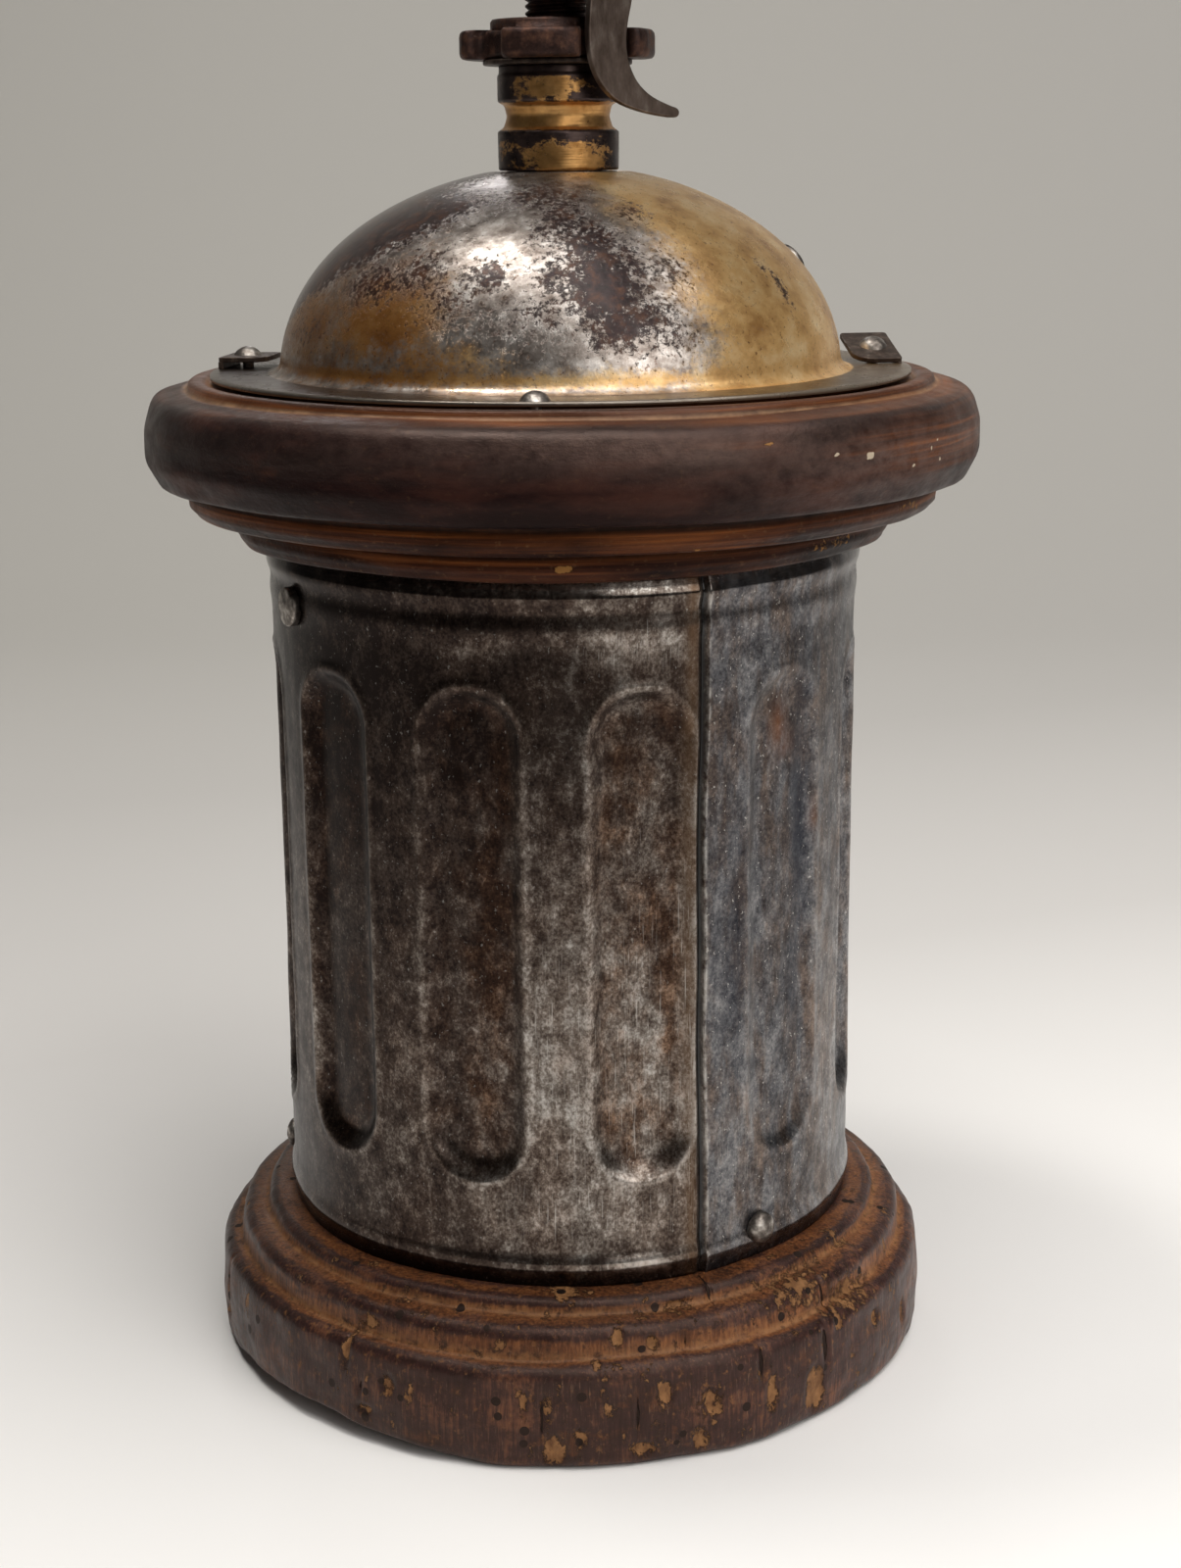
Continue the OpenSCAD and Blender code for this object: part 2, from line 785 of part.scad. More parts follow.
// A corner of a line, moved out from both of its sides by the same distance
function mitre(corner, n1, n2, out) =
  corner + out * (n1 + n2) / (1 + n1 * n2);

// Half section of the dome's skin from the flange over the lip to its seat, moved out along its normal
dome_steps = 20;
fillet_steps = 6;
crown_t = acos((crown_r + dome_t) / dome_r);
slope_normal = [-sin(45), cos(45)];
function dome_line(out) =
  let (middle = dome_point(fillet_t, dome_fillet))
  concat(
    [for (i = [0:fillet_steps - 1])
      let (a = 270 - 90 * i / fillet_steps)
      middle + (dome_fillet - out) * [cos(a), sin(a)]],
    [for (i = [0:dome_steps]) dome_point(fillet_t + (crown_t - fillet_t) * i / dome_steps, out)],
    [
      mitre([crown_r, crown_z], dome_normal(crown_t), slope_normal, out),
      mitre([seat_r, seat_z], slope_normal, [0, 1], out)
    ]
  );
function backwards(points) =
  [for (i = [len(points) - 1:-1:0]) points[i]];

// Spun tin dome with a flange, a sunk seat in its crown and the filler opening
module dome_hopper() {
  hole_r = bush_spigot_d / 2 + fit;
  color("#9a7a48")
    difference() {
      rotate_extrude()
        polygon(concat(
          [[flange_r, flange_z], [flange_r, flange_top_z]],
          dome_line(0),
          [[hole_r, seat_z], [hole_r, seat_z - dome_t]],
          backwards(dome_line(-dome_t))
        ));
      intersection() {
        wedge(180 - filler_span / 2, filler_span, flange_top_z + filler_up, flange_top_z + filler_top);
        ring(crown_r / 2, far_r, flange_top_z + filler_up, flange_top_z + filler_top);
      }
      at_flange_nails()
        nail_hole();
      at_guide_nails()
        nail_hole();
    }
}

module flange_nails() {
  color("#3b3733")
    at_flange_nails()
      nail();
}

// Tin guide: a plate over the door's rim, with its outer edge turned down onto the flange
module door_guide(side) {
  tilt = guide_tilt(side);
  size_r = guide_out_r - guide_in_r;
  color("#6d6255")
    difference() {
      around(side * guide_az)
        intersection() {
          translate([-guide_l / 2, -guide_out_r, flange_top_z])
            cube([guide_l, size_r, far_r]);
          translate([0, 0, guide_mid_z(side)])
            rotate([0, -side * tilt, 0])
              translate([-guide_l, -guide_out_r, 0]) {
                translate([0, 0, -guide_t])
                  cube([2 * guide_l, size_r, guide_t]);
                translate([0, 0, -guide_l])
                  cube([2 * guide_l, guide_t, guide_l]);
              }
        }
      at_guide_nails()
        nail_hole();
    }
}

module door_guide_left() {
  door_guide(-1);
}

module door_guide_right() {
  door_guide(1);
}

module guide_nails() {
  color("#3b3733")
    at_guide_nails()
      nail();
}

// Turned brass neck with a groove, a spigot through the dome and the spindle's bore
module neck_bush() {
  groove_r = (pow(neck_groove_w / 2, 2) + pow(neck_groove_depth, 2)) / (2 * neck_groove_depth);
  color("#b08d4a")
    rotate_extrude()
      difference() {
        union() {
          translate([bore_r, neck_z])
            square([neck_d / 2 - bore_r, neck_h]);
          translate([bore_r, bush_bottom_z])
            square([bush_spigot_d / 2 - bore_r, bush_spigot_h + bite]);
        }
        translate([neck_d / 2 - neck_groove_depth + groove_r, neck_z + neck_groove_up])
          circle(groove_r);
      }
}

// Hexagonal nut that holds the bush from inside the dome
module bush_nut() {
  color("#8d733e")
    translate([0, 0, seat_z - dome_t - bush_nut_h])
      hex_nut(bush_nut_af, bush_nut_h, bush_spigot_d / 2 + fit);
}

// Flat washer that the adjusting nut turns on
module thrust_washer() {
  color("#5b5048")
    ring(bore_r, thrust_d / 2, neck_top_z, neck_top_z + thrust_t);
}

// Grooves cut round a burr: slanted slots at a radius, between two heights
module burr_grooves(r_low, z_low, r_high, z_high, slant) {
  lean = atan2(r_high - r_low, z_high - z_low);
  length = norm([r_high - r_low, z_high - z_low]);
  for (i = [0:burr_teeth - 1])
    around(360 / burr_teeth * i)
      translate([0, -r_low, z_low])
        rotate([lean, 0, 0])
          rotate([0, slant, 0])
            rotate([0, 0, 45])
              translate([-burr_groove / sqrt(2), -burr_groove / sqrt(2), -1])
                cube([burr_groove * sqrt(2), burr_groove * sqrt(2), length + 2]);
}

// Cast ring burr with a flange under the cornice's plug
module ring_burr() {
  color("#4a4745")
    difference() {
      rotate_extrude()
        polygon([
          [ring_exit_r, ring_bottom_z],
          [ring_flange_d / 2, ring_bottom_z],
          [ring_flange_d / 2, plug_z],
          [ring_r, plug_z],
          [ring_r, ring_top_z],
          [mouth_r, ring_top_z],
          [throat_r, throat_z]
        ]);
      burr_grooves(throat_r, throat_z, mouth_r, ring_top_z, ring_slant);
      at_ring_screws()
        screw_hole();
    }
}

module ring_burr_screws() {
  color("#6a6660")
    at_ring_screws()
      screw();
}

// Bent iron strap under the burrs that carries the lower bush
module bridge() {
  leg_out = bridge_leg_r + bridge_t;
  color("#45403c")
    difference() {
      union() {
        translate([-leg_out, -bridge_w / 2, bridge_z])
          cube([2 * leg_out, bridge_w, bridge_t]);
        for (side = [0, 1])
          mirror([side, 0, 0]) {
            translate([bridge_leg_r, -bridge_w / 2, bridge_z])
              cube([bridge_t, bridge_w, bridge_drop]);
            intersection() {
              translate([bridge_leg_r, -bridge_w / 2, plug_z - bridge_t])
                cube([far_r, bridge_w, bridge_t]);
              translate([0, 0, bridge_z])
                cylinder(h = bridge_drop + 1, r = bridge_foot_r);
            }
          }
      }
      translate([0, 0, bridge_z - 1])
        cylinder(h = bridge_t + 2, r = lower_bush_d / 2 + fit);
      at_bridge_screws()
        screw_hole();
    }
}

// Bronze bush in the bridge for the spindle's tail, with a collar on top
module bridge_bush() {
  collar_z = bridge_z + bridge_t;
  color("#a5834a")
    difference() {
      union() {
        translate([0, 0, lower_bush_z])
          cylinder(h = lower_bush_h, d = lower_bush_d);
        translate([0, 0, collar_z])
          cylinder(h = lower_bush_z + lower_bush_h - collar_z, d = lower_bush_d + 2 * lower_bush_collar);
      }
      translate([0, 0, lower_bush_z - 1])
        cylinder(h = lower_bush_h + 2, r = tail_r + run);
    }
}

module bridge_screws() {
  color("#6a6660")
    at_bridge_screws()
      screw();
}

// Wooden strip on the base's spigot that guides one side of the drawer
module drawer_runner(side) {
  low_x = side > 0 ? runner_x : -runner_x - runner_w;
  color("#6b4a32")
    translate([low_x, -runner_l / 2, spigot_z])
      cube([runner_w, runner_l, runner_h]);
}

module drawer_runner_left() {
  drawer_runner(-1);
}

module drawer_runner_right() {
  drawer_runner(1);
}

// Tin door that turns round the neck outside the dome, with an eye and a flat rim
module hopper_door() {
  eye_hole_r = bush_spigot_d / 2 + run;
  plate_z = seat_z + door_gap;
  door_h = crown_z + 2 * door_out - flange_z;
  color("#8c6c3c")
    difference() {
      intersection() {
        rotate_extrude()
          polygon(concat(
            [[door_rim_r, flange_top_z + door_out]],
            dome_line(door_out),
            [[eye_hole_r, plate_z + door_t], [eye_hole_r, plate_z]],
            backwards(dome_line(door_gap)),
            [[door_rim_r, flange_top_z + door_gap]]
          ));
        translate([0, 0, flange_z])
          linear_extrude(door_h) {
            translate([-far_r, door_back])
              square(2 * far_r);
            translate([-door_strap_w / 2, 0])
              square([door_strap_w, door_back + bite]);
            circle(d = door_eye_d);
          }
      }
      at_door_knob(door_gap - 1)
        cylinder(h = door_t + 2, r = door_knob_stud_r + fit);
    }
}

// Places a piece drawn along +Z square on the door's curve, at a distance out of the dome
module at_door_knob(out) {
  foot = dome_point(door_knob_t, out);
  lean = atan2(sin(door_knob_t) / dome_rise, cos(door_knob_t) / dome_r);
  around(door_knob_az)
    translate([0, -foot[0], foot[1]])
      rotate([90 - lean, 0, 0])
        children();
}

// Turned steel button riveted through the door
module door_knob() {
  head_r = door_knob_d / 2;
  foot_r = 0.6 * head_r;
  color("#4f463e")
    at_door_knob(door_out + door_knob_seat) {
      rotate_extrude() {
        square([foot_r, door_knob_h / 2]);
        slab(head_r, 0.4 * door_knob_h, door_knob_h, 0.3 * door_knob_h, 0.1 * door_knob_h);
      }
      translate([0, 0, -door_t - door_knob_seat])
        cylinder(h = door_t + door_knob_seat + bite, r = door_knob_stud_r);
    }
}

// Tin tray without a front wall, which the drawer's front closes
module drawer_tray() {
  color("#7d766d")
    intersection() {
      difference() {
        translate([-drawer_w / 2, drawer_back_y, drawer_z])
          cube([drawer_w, far_r, drawer_h]);
        translate([-drawer_w / 2 + drawer_t, drawer_back_y + drawer_t, drawer_z + drawer_t])
          cube([drawer_w - 2 * drawer_t, far_r, drawer_h]);
      }
      cylinder(h = drawer_top_z + 1, r = front_in_r);
    }
}

// Curved tin front that laps over the window
module drawer_front() {
  half_w = window_w / 2 + front_lap;
  low = spigot_z - front_lap;
  high = window_top_z + front_lap;
  color("#5c5650")
    difference() {
      intersection() {
        ring(front_in_r, front_r, low, high);
        translate([-half_w, 0, low])
          cube([2 * half_w, far_r, high - low]);
      }
      radial(180, 0, drawer_knob_z)
        cylinder(h = far_r, r = drawer_stud_r + fit);
    }
}

// Turned brass knob with a stud through the drawer's front
module drawer_knob() {
  head_r = drawer_knob_d / 2;
  neck_r = head_r / 2;
  color("#b08d4a")
    radial(180, front_r, drawer_knob_z) {
      rotate_extrude() {
        square([neck_r, drawer_knob_l / 2]);
        slab(head_r, drawer_knob_l / 3, drawer_knob_l, drawer_knob_l / 4, drawer_knob_l / 4);
        slab(0.7 * head_r, 0, drawer_knob_l / 8, drawer_knob_l / 16, 0);
      }
      translate([0, 0, -front_t - drawer_stud_l])
        cylinder(h = front_t + drawer_stud_l + bite, r = drawer_stud_r);
    }
}

// Small nut on the knob's stud, inside the tray
module drawer_knob_nut() {
  seat_y = sqrt(pow(front_in_r, 2) - pow(drawer_nut_af / sqrt(3), 2));
  color("#6a6660")
    radial(180, seat_y - drawer_nut_h, drawer_knob_z)
      hex_nut(drawer_nut_af, drawer_nut_h, drawer_stud_r + fit);
}

// Adjusting nut with square-ended lobes, notches between them and a boss on top
module star_nut() {
  color("#4b3a31")
    difference() {
      union() {
        translate([0, 0, star_z])
          linear_extrude(star_t)
            difference() {
              circle(star_d / 2);
              for (i = [0:star_lobes - 1])
                rotate(crank_az + 360 / star_lobes * i)
                  translate([-notch_w / 2, -star_d])
                    square([notch_w, star_d - star_core_d / 2]);
            }
        translate([0, 0, star_z])
          cylinder(h = boss_top_z - star_z, d = star_boss_d);
      }
      translate([0, 0, star_z - 1])
        cylinder(h = boss_top_z - star_z + 2, r = bore_r);
    }
}

// Half section of a row of thread crests between two heights
module thread_outline(z_low, turns) {
  polygon([
    [0, z_low],
    for (i = [0:turns - 1])
      for (p = [[spindle_r - thread_depth, 0], [spindle_r, 0.4], [spindle_r, 0.6]])
        [p[0], z_low + (i + p[1]) * thread_pitch],
    [spindle_r - thread_depth, z_low + turns * thread_pitch],
    [0, z_low + turns * thread_pitch]
  ]);
}

// Steel spindle: tail, shaft, thread, square and stud
module spindle() {
  thread_z = star_z - 4 * thread_pitch;
  turns = ceil((shoulder_z - 1 - thread_z) / thread_pitch);
  thread_end_z = min(thread_z + turns * thread_pitch, shoulder_z);
  color("#5d544c")
    difference() {
      union() {
        rotate_extrude() {
          translate([0, tail_bottom_z])
            square([tail_r, cone_bottom_z - tail_bottom_z + bite]);
          translate([0, cone_bottom_z])
            square([spindle_r, thread_z - cone_bottom_z + bite]);
          intersection() {
            thread_outline(thread_z, turns);
            translate([0, thread_z])
              square([spindle_d, thread_end_z - thread_z]);
          }
          translate([0, thread_end_z - bite])
            square([spindle_r, shoulder_z - thread_end_z + bite]);
          translate([0, hub_top_z - 1])
            square([stud_d / 2, stud_top_z - hub_top_z + 1]);
        }
        around(crank_az)
          translate([-square_w / 2, -square_w / 2, shoulder_z - bite])
            cube([square_w, square_w, square_top_z - shoulder_z + bite]);
      }
      translate([-far_r, 0, cone_pin_z])
        rotate([0, 90, 0])
          cylinder(h = 2 * far_r, r = cone_pin_r + fit);
    }
}

// Grinding cone, fixed on the spindle by a cross pin
module cone_burr() {
  color("#4a4745")
    difference() {
      rotate_extrude()
        polygon([
          [spindle_r + fit, cone_bottom_z],
          [cone_foot_r, cone_bottom_z],
          [cone_waist_r, throat_z],
          [cone_top_r, ring_top_z],
          [spindle_r + fit, ring_top_z]
        ]);
      burr_grooves(cone_waist_r, throat_z, cone_top_r, ring_top_z, cone_slant);
      translate([-far_r, 0, cone_pin_z])
        rotate([0, 90, 0])
          cylinder(h = 2 * far_r, r = cone_pin_r + fit);
    }
}

module cone_pin() {
  half = cone_waist_r - 1;
  color("#6a6660")
    translate([-half, 0, cone_pin_z])
      rotate([0, 90, 0])
        cylinder(h = 2 * half, r = cone_pin_r);
}

// Height of the arm's middle line at a distance along it
function arm_middle(d) =
  let (u = max(0, min(1, (d - 0.3 * crank_r) / (0.4 * crank_r))))
  arm_z + arm_rise * u * u * (3 - 2 * u);

// Forged crank arm with a square-holed hub, a rising bend, an eye and two ears for the catch
module crank_arm() {
  steps = 16;
  reach = crank_r + arm_tip_w;
  line = [for (i = [0:steps]) reach * i / steps];
  ear_x = catch_w / 2 + slip;
  hub_r = hub_d / 2;
  color("#4f463e")
    around(crank_az)
      difference() {
        union() {
          translate([0, 0, shoulder_z])
            cylinder(h = hub_h, r = hub_r);
          intersection() {
            translate([arm_root_w, 0, 0])
              rotate([90, 0, -90])
                linear_extrude(2 * arm_root_w)
                  polygon(concat(
                    [for (d = line) [d, arm_middle(d) - arm_t / 2]],
                    backwards([for (d = line) [d, arm_middle(d) + arm_t / 2]])
                  ));
            translate([0, 0, shoulder_z])
              linear_extrude(arm_rise + hub_h + arm_t) {
                polygon([
                  [-arm_root_w / 2, 0],
                  [arm_root_w / 2, 0],
                  [arm_tip_w / 2, -crank_r],
                  [-arm_tip_w / 2, -crank_r]
                ]);
                translate([0, -crank_r])
                  circle(d = arm_tip_w);
              }
          }
          for (x = [-ear_x - ear_w, ear_x])
            translate([x, -catch_r, catch_pin_z])
              rotate([0, 90, 0]) {
                cylinder(h = ear_w, r = catch_eye_r);
                translate([-catch_eye_r - slip - bite, -catch_eye_r, 0])
                  cube([catch_eye_r + slip + bite, 2 * catch_eye_r, ear_w]);
              }
        }
        translate([-square_w / 2 - fit, -square_w / 2 - fit, shoulder_z - 1])
          cube([square_w + 2 * fit, square_w + 2 * fit, hub_h + 2]);
        translate([0, -crank_r, arm_tip_z - far_r])
          cylinder(h = 2 * far_r, r = knob_pin_d / 2 + fit);
        translate([-far_r, -catch_r, catch_pin_z])
          rotate([0, 90, 0])
            cylinder(h = 2 * far_r, r = catch_pin_d / 2 + fit);
      }
}

module crank_washer() {
  color("#6a6660")
    ring(stud_d / 2 + fit, crank_washer_d / 2, hub_top_z, crank_washer_top_z);
}

module crank_nut() {
  color("#5d544c")
    translate([0, 0, crank_washer_top_z])
      hex_nut(crank_nut_af, crank_nut_h, stud_d / 2 + fit);
}

// Pin that carries the catch between the arm's ears
module catch_pin() {
  half = catch_w / 2 + slip + ear_w + catch_pin_show;
  color("#6a6660")
    around(crank_az)
      translate([-half, -catch_r, catch_pin_z])
        rotate([0, 90, 0])
          cylinder(h = 2 * half, d = catch_pin_d);
}

// Flat catch that hangs in a notch of the adjusting nut and ends in a curved finger tail
module adjuster_catch() {
  half = catch_w / 2;
  neck = 0.8 * half;
  back = 0.9 * half;
  outer_r = 1.1 * catch_tail;
  outer_x = 0.7 * catch_tail;
  outer_z = catch_neck_z + star_t;
  inner_r = 0.65 * catch_tail;
  color("#6b6058")
    around(crank_az)
      difference() {
        union() {
          upright(catch_in_r, catch_in_r + catch_t) {
            polygon([
              [-half, catch_pin_z],
              [half, catch_pin_z],
              [half, boss_top_z],
              [neck, catch_neck_z],
              [-back, catch_neck_z],
              [-half, boss_top_z]
            ]);
            difference() {
              intersection() {
                translate([outer_x, outer_z])
                  circle(outer_r);
                translate([-back, catch_neck_z - catch_tail])
                  square([catch_tail + back, catch_tail + bite]);
              }
              translate([neck + inner_r, catch_neck_z])
                circle(inner_r);
              translate([neck + inner_r, catch_neck_z - inner_r / 2])
                square(far_r);
            }
          }
          translate([-half, -catch_r, catch_pin_z])
            rotate([0, 90, 0])
              cylinder(h = catch_w, r = catch_eye_r);
        }
        translate([-far_r, -catch_r, catch_pin_z])
          rotate([0, 90, 0])
            cylinder(h = 2 * far_r, r = catch_pin_d / 2 + run);
      }
}

// Places a piece at the knob's end of the arm
module at_knob(z) {
  around(crank_az)
    translate([0, -crank_r, z])
      children();
}

// Steel pin riveted in the arm's eye, with a head over the knob
module knob_pin() {
  foot_z = arm_tip_z - arm_t / 2;
  top_z = knob_z + knob_h + slip;
  rivet_h = knob_pin_d / 6;
  head_h = knob_pin_d / 3;
  color("#6a6660") {
    at_knob(foot_z - rivet_h)
      cylinder(h = rivet_h, d = knob_pin_d + 2 * rivet_h);
    at_knob(foot_z - bite)
      cylinder(h = top_z - foot_z + 2 * bite, d = knob_pin_d);
    at_knob(top_z)
      rotate_extrude()
        slab(0.7 * knob_pin_d, 0, head_h, head_h / 2, 0);
  }
}

module knob_washer() {
  color("#6a6660")
    at_knob(arm_tip_top_z)
      ring(knob_pin_d / 2 + fit, 0.46 * knob_neck_d, 0, knob_washer_t);
}

// Radius of the turned knob at a share of its height: a cosine swell and a round top
knob_belly = 0.62;
knob_flat = 0.45;
function knob_r(u) =
  let (swell = knob_neck_d / 2 + (knob_d - knob_neck_d) / 4 * (1 - cos(180 * u / knob_belly)))
  let (crown = sqrt(1 - pow(max(0, u - knob_belly) / (1 - knob_belly), 2)))
  u < knob_belly ? swell : knob_d / 2 * (knob_flat + (1 - knob_flat) * crown);

// Turned wooden knob that spins on its pin
module crank_knob() {
  steps = 24;
  hole_r = knob_pin_d / 2 + run;
  color("#4a2c1f")
    at_knob(knob_z)
      rotate_extrude()
        polygon(concat(
          [[hole_r, 0]],
          [for (i = [0:steps]) [knob_r(i / steps), knob_h * i / steps]],
          [[hole_r, knob_h]]
        ));
}

base_plinth();
body_shell();
body_nails();
cornice_ring();
dome_hopper();
flange_nails();
door_guide_left();
door_guide_right();
guide_nails();
neck_bush();
bush_nut();
thrust_washer();
ring_burr();
ring_burr_screws();
bridge();
bridge_bush();
bridge_screws();
drawer_runner_left();
drawer_runner_right();
hopper_door();
door_knob();
drawer_tray();
drawer_front();
drawer_knob();
drawer_knob_nut();
star_nut();
spindle();
cone_burr();
cone_pin();
crank_arm();
crank_washer();
crank_nut();
catch_pin();
adjuster_catch();
knob_pin();
knob_washer();
crank_knob();
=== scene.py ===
import math

import bpy
import numpy as np
from mathutils import Matrix, Vector


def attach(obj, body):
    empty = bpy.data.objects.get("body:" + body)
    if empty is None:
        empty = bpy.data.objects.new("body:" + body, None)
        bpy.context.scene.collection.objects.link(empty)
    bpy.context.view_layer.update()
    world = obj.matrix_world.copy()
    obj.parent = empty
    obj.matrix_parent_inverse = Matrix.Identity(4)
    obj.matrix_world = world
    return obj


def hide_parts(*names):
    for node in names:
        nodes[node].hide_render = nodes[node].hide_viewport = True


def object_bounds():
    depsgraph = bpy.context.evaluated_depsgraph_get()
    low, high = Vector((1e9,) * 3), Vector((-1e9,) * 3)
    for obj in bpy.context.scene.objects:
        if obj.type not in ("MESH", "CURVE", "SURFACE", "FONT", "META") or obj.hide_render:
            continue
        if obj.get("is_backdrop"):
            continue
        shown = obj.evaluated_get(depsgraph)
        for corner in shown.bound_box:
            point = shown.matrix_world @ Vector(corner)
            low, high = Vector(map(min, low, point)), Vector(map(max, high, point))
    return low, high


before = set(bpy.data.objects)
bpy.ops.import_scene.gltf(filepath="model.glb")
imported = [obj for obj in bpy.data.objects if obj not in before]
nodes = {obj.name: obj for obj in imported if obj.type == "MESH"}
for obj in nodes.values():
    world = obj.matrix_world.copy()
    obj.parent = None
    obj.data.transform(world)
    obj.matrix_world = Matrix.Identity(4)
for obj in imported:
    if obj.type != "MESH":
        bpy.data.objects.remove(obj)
cad_low, cad_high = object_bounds()

# The photograph's view: a hand-held camera 0.4 m in front of the mill and level with its crown,
# looking 14.65 degrees down, with a slight turn to the side and a slight roll.
pitch = math.radians(14.65)
yaw = math.radians(0.6)
roll = math.radians(-0.5)
look = np.array([math.sin(yaw) * math.cos(pitch), math.cos(yaw) * math.cos(pitch), -math.sin(pitch)])
side = np.array([math.cos(yaw), -math.sin(yaw), 0.0])
rise = np.cross(side, look)
right = math.cos(roll) * side + math.sin(roll) * rise
above = -math.sin(roll) * side + math.cos(roll) * rise
camera = bpy.data.objects.new("photo_camera", bpy.data.cameras.new("photo_camera"))
camera.data.lens = 56.03
camera.data.sensor_width = 36
camera.data.clip_start = 0.01
camera.matrix_world = Matrix(np.column_stack([right, above, -look]).tolist()).to_4x4()
camera.location = (0, -0.3998, 0.19865)
bpy.context.scene.collection.objects.link(camera)
bpy.context.scene.camera = camera
bpy.context.scene.view_settings.view_transform = "Standard"


# A sheet of pale paper that lies under the mill and sweeps up behind it. The paper is painted a little
# greyer towards the back and on the left, painted shade of the light falling off there.
def linear(code):
    """An sRGB colour such as #c8b090 as linear red, green, blue and alpha."""
    part = np.array([int(code[i:i + 2], 16) for i in (1, 3, 5)]) / 255
    part = np.where(part <= 0.04045, part / 12.92, ((part + 0.055) / 1.055) ** 2.4)
    return (*part.tolist(), 1.0)


def feed(tree, node, values):
    """Sets or links a node's inputs. A value is a number, another node's output, a colour code or the
    name of one of the mesh's attributes."""
    for key, value in values.items():
        if isinstance(value, str) and not value.startswith("#"):
            value = add(tree, "Attribute", out="Fac", attribute_name=value)
        if isinstance(value, bpy.types.NodeSocket):
            tree.links.new(value, node.inputs[key])
        else:
            node.inputs[key].default_value = linear(value) if isinstance(value, str) else value


def add(tree, kind, *inputs, out=0, stops=(), size=None, shift=0, fine=None, **settings):
    """Adds a node and returns one of its outputs. The kind is the node's name with its operation, as in
    Math MULTIPLY, and the inputs come in order, or by name among the settings. A texture's size in
    millimetres divides the Object coordinates, moved on by a shift, and fine is its detail and
    roughness. Stops, places with grey levels or colours, send the output on through a ramp."""
    kind, _, how = kind.partition(" ")
    made = tree.nodes.new("ShaderNode" + kind)
    values = dict(enumerate(inputs))
    if kind == "Mix":
        made.data_type, made.blend_type, out = "RGBA", how or "MIX", 2
        values = dict(zip((0, 6, 7), inputs))
    elif how:
        made.operation = how
    if size is not None:
        place = add(tree, "TexCoord", out="Object")
        scale = (1000 / np.broadcast_to(size, 3)).tolist()
        values["Vector"] = add(tree, "Mapping", place, Location=(shift,) * 3, Scale=scale)
        values["Scale"] = 1.0
    if fine is not None:
        values["Detail"], values["Roughness"] = fine
    for key, value in settings.items():
        if key in made.inputs:
            values[key] = value
        else:
            setattr(made, key, value)
    feed(tree, made, values)
    if stops and kind != "ValToRGB":
        return add(tree, "ValToRGB", made.outputs[out], stops=stops)
    if stops:
        while len(made.color_ramp.elements) < len(stops):
            made.color_ramp.elements.new(0.5)
        for (place, value), element in zip(stops, made.color_ramp.elements):
            element.position = place
            element.color = linear(value) if isinstance(value, str) else (value, value, value, 1)
    return made.outputs[out]


def new_material(name):
    """An empty node material with its Principled shader, as (material, tree, shader)."""
    made = bpy.data.materials.new(name)
    made.use_nodes = True
    return made, made.node_tree, made.node_tree.nodes["Principled BSDF"]


def grid_piece(name, points, wrap=(True, False), keep=None, **attributes):
    """A mesh of quads over a whole array of points, rows by columns. A wrapped direction joins its
    last line to its first. Quads outside keep are left out, and each attribute has one number a
    point. Points that coincide, such as those on an axis, are welded."""
    rows, cols = points.shape[:2]
    i, j = np.meshgrid(np.arange(rows - (not wrap[0])), np.arange(cols - (not wrap[1])), indexing="ij")
    i2, j2 = (i + 1) % rows, (j + 1) % cols
    quads = np.stack([i * cols + j, i2 * cols + j, i2 * cols + j2, i * cols + j2], -1)
    quads = quads.reshape(-1, 4) if keep is None else quads[keep]
    flat = points.reshape(-1, 3)
    weld = np.unique(np.round(flat, 7), axis=0, return_index=True, return_inverse=True)
    quads = weld[1][weld[2].reshape(-1)][quads]
    used, quads = np.unique(quads, return_inverse=True)
    quads = quads.reshape(-1, 4)
    faces = [list(dict.fromkeys(q)) for q in quads.tolist()]
    mesh = bpy.data.meshes.new(name)
    mesh.from_pydata(flat[used].tolist(), [], [q for q in faces if len(q) > 2])
    for key, values in attributes.items():
        layer = mesh.attributes.new(key, "FLOAT", "POINT")
        layer.data.foreach_set(
            "value", np.broadcast_to(values, (rows, cols)).reshape(-1)[used].astype(np.float32))
    mesh.shade_smooth()
    made = bpy.data.objects.new(name, mesh)
    bpy.context.scene.collection.objects.link(made)
    return made


bend_y, bend_r = 0.6, 0.6
sweep = np.radians(np.linspace(0, 80, 24))
paper_x = np.linspace(-1.6, 1.6, 9)[:, None]
paper_y = np.concatenate([[-0.46, -0.3, 0, 0.3], bend_y + bend_r * np.sin(sweep), [1.32]])
paper_z = np.concatenate([[0, 0, 0, 0], bend_r - bend_r * np.cos(sweep), [1.9]])
paper = grid_piece(
    "paper", np.stack(np.broadcast_arrays(paper_x, paper_y, paper_z), -1), wrap=(False, False))
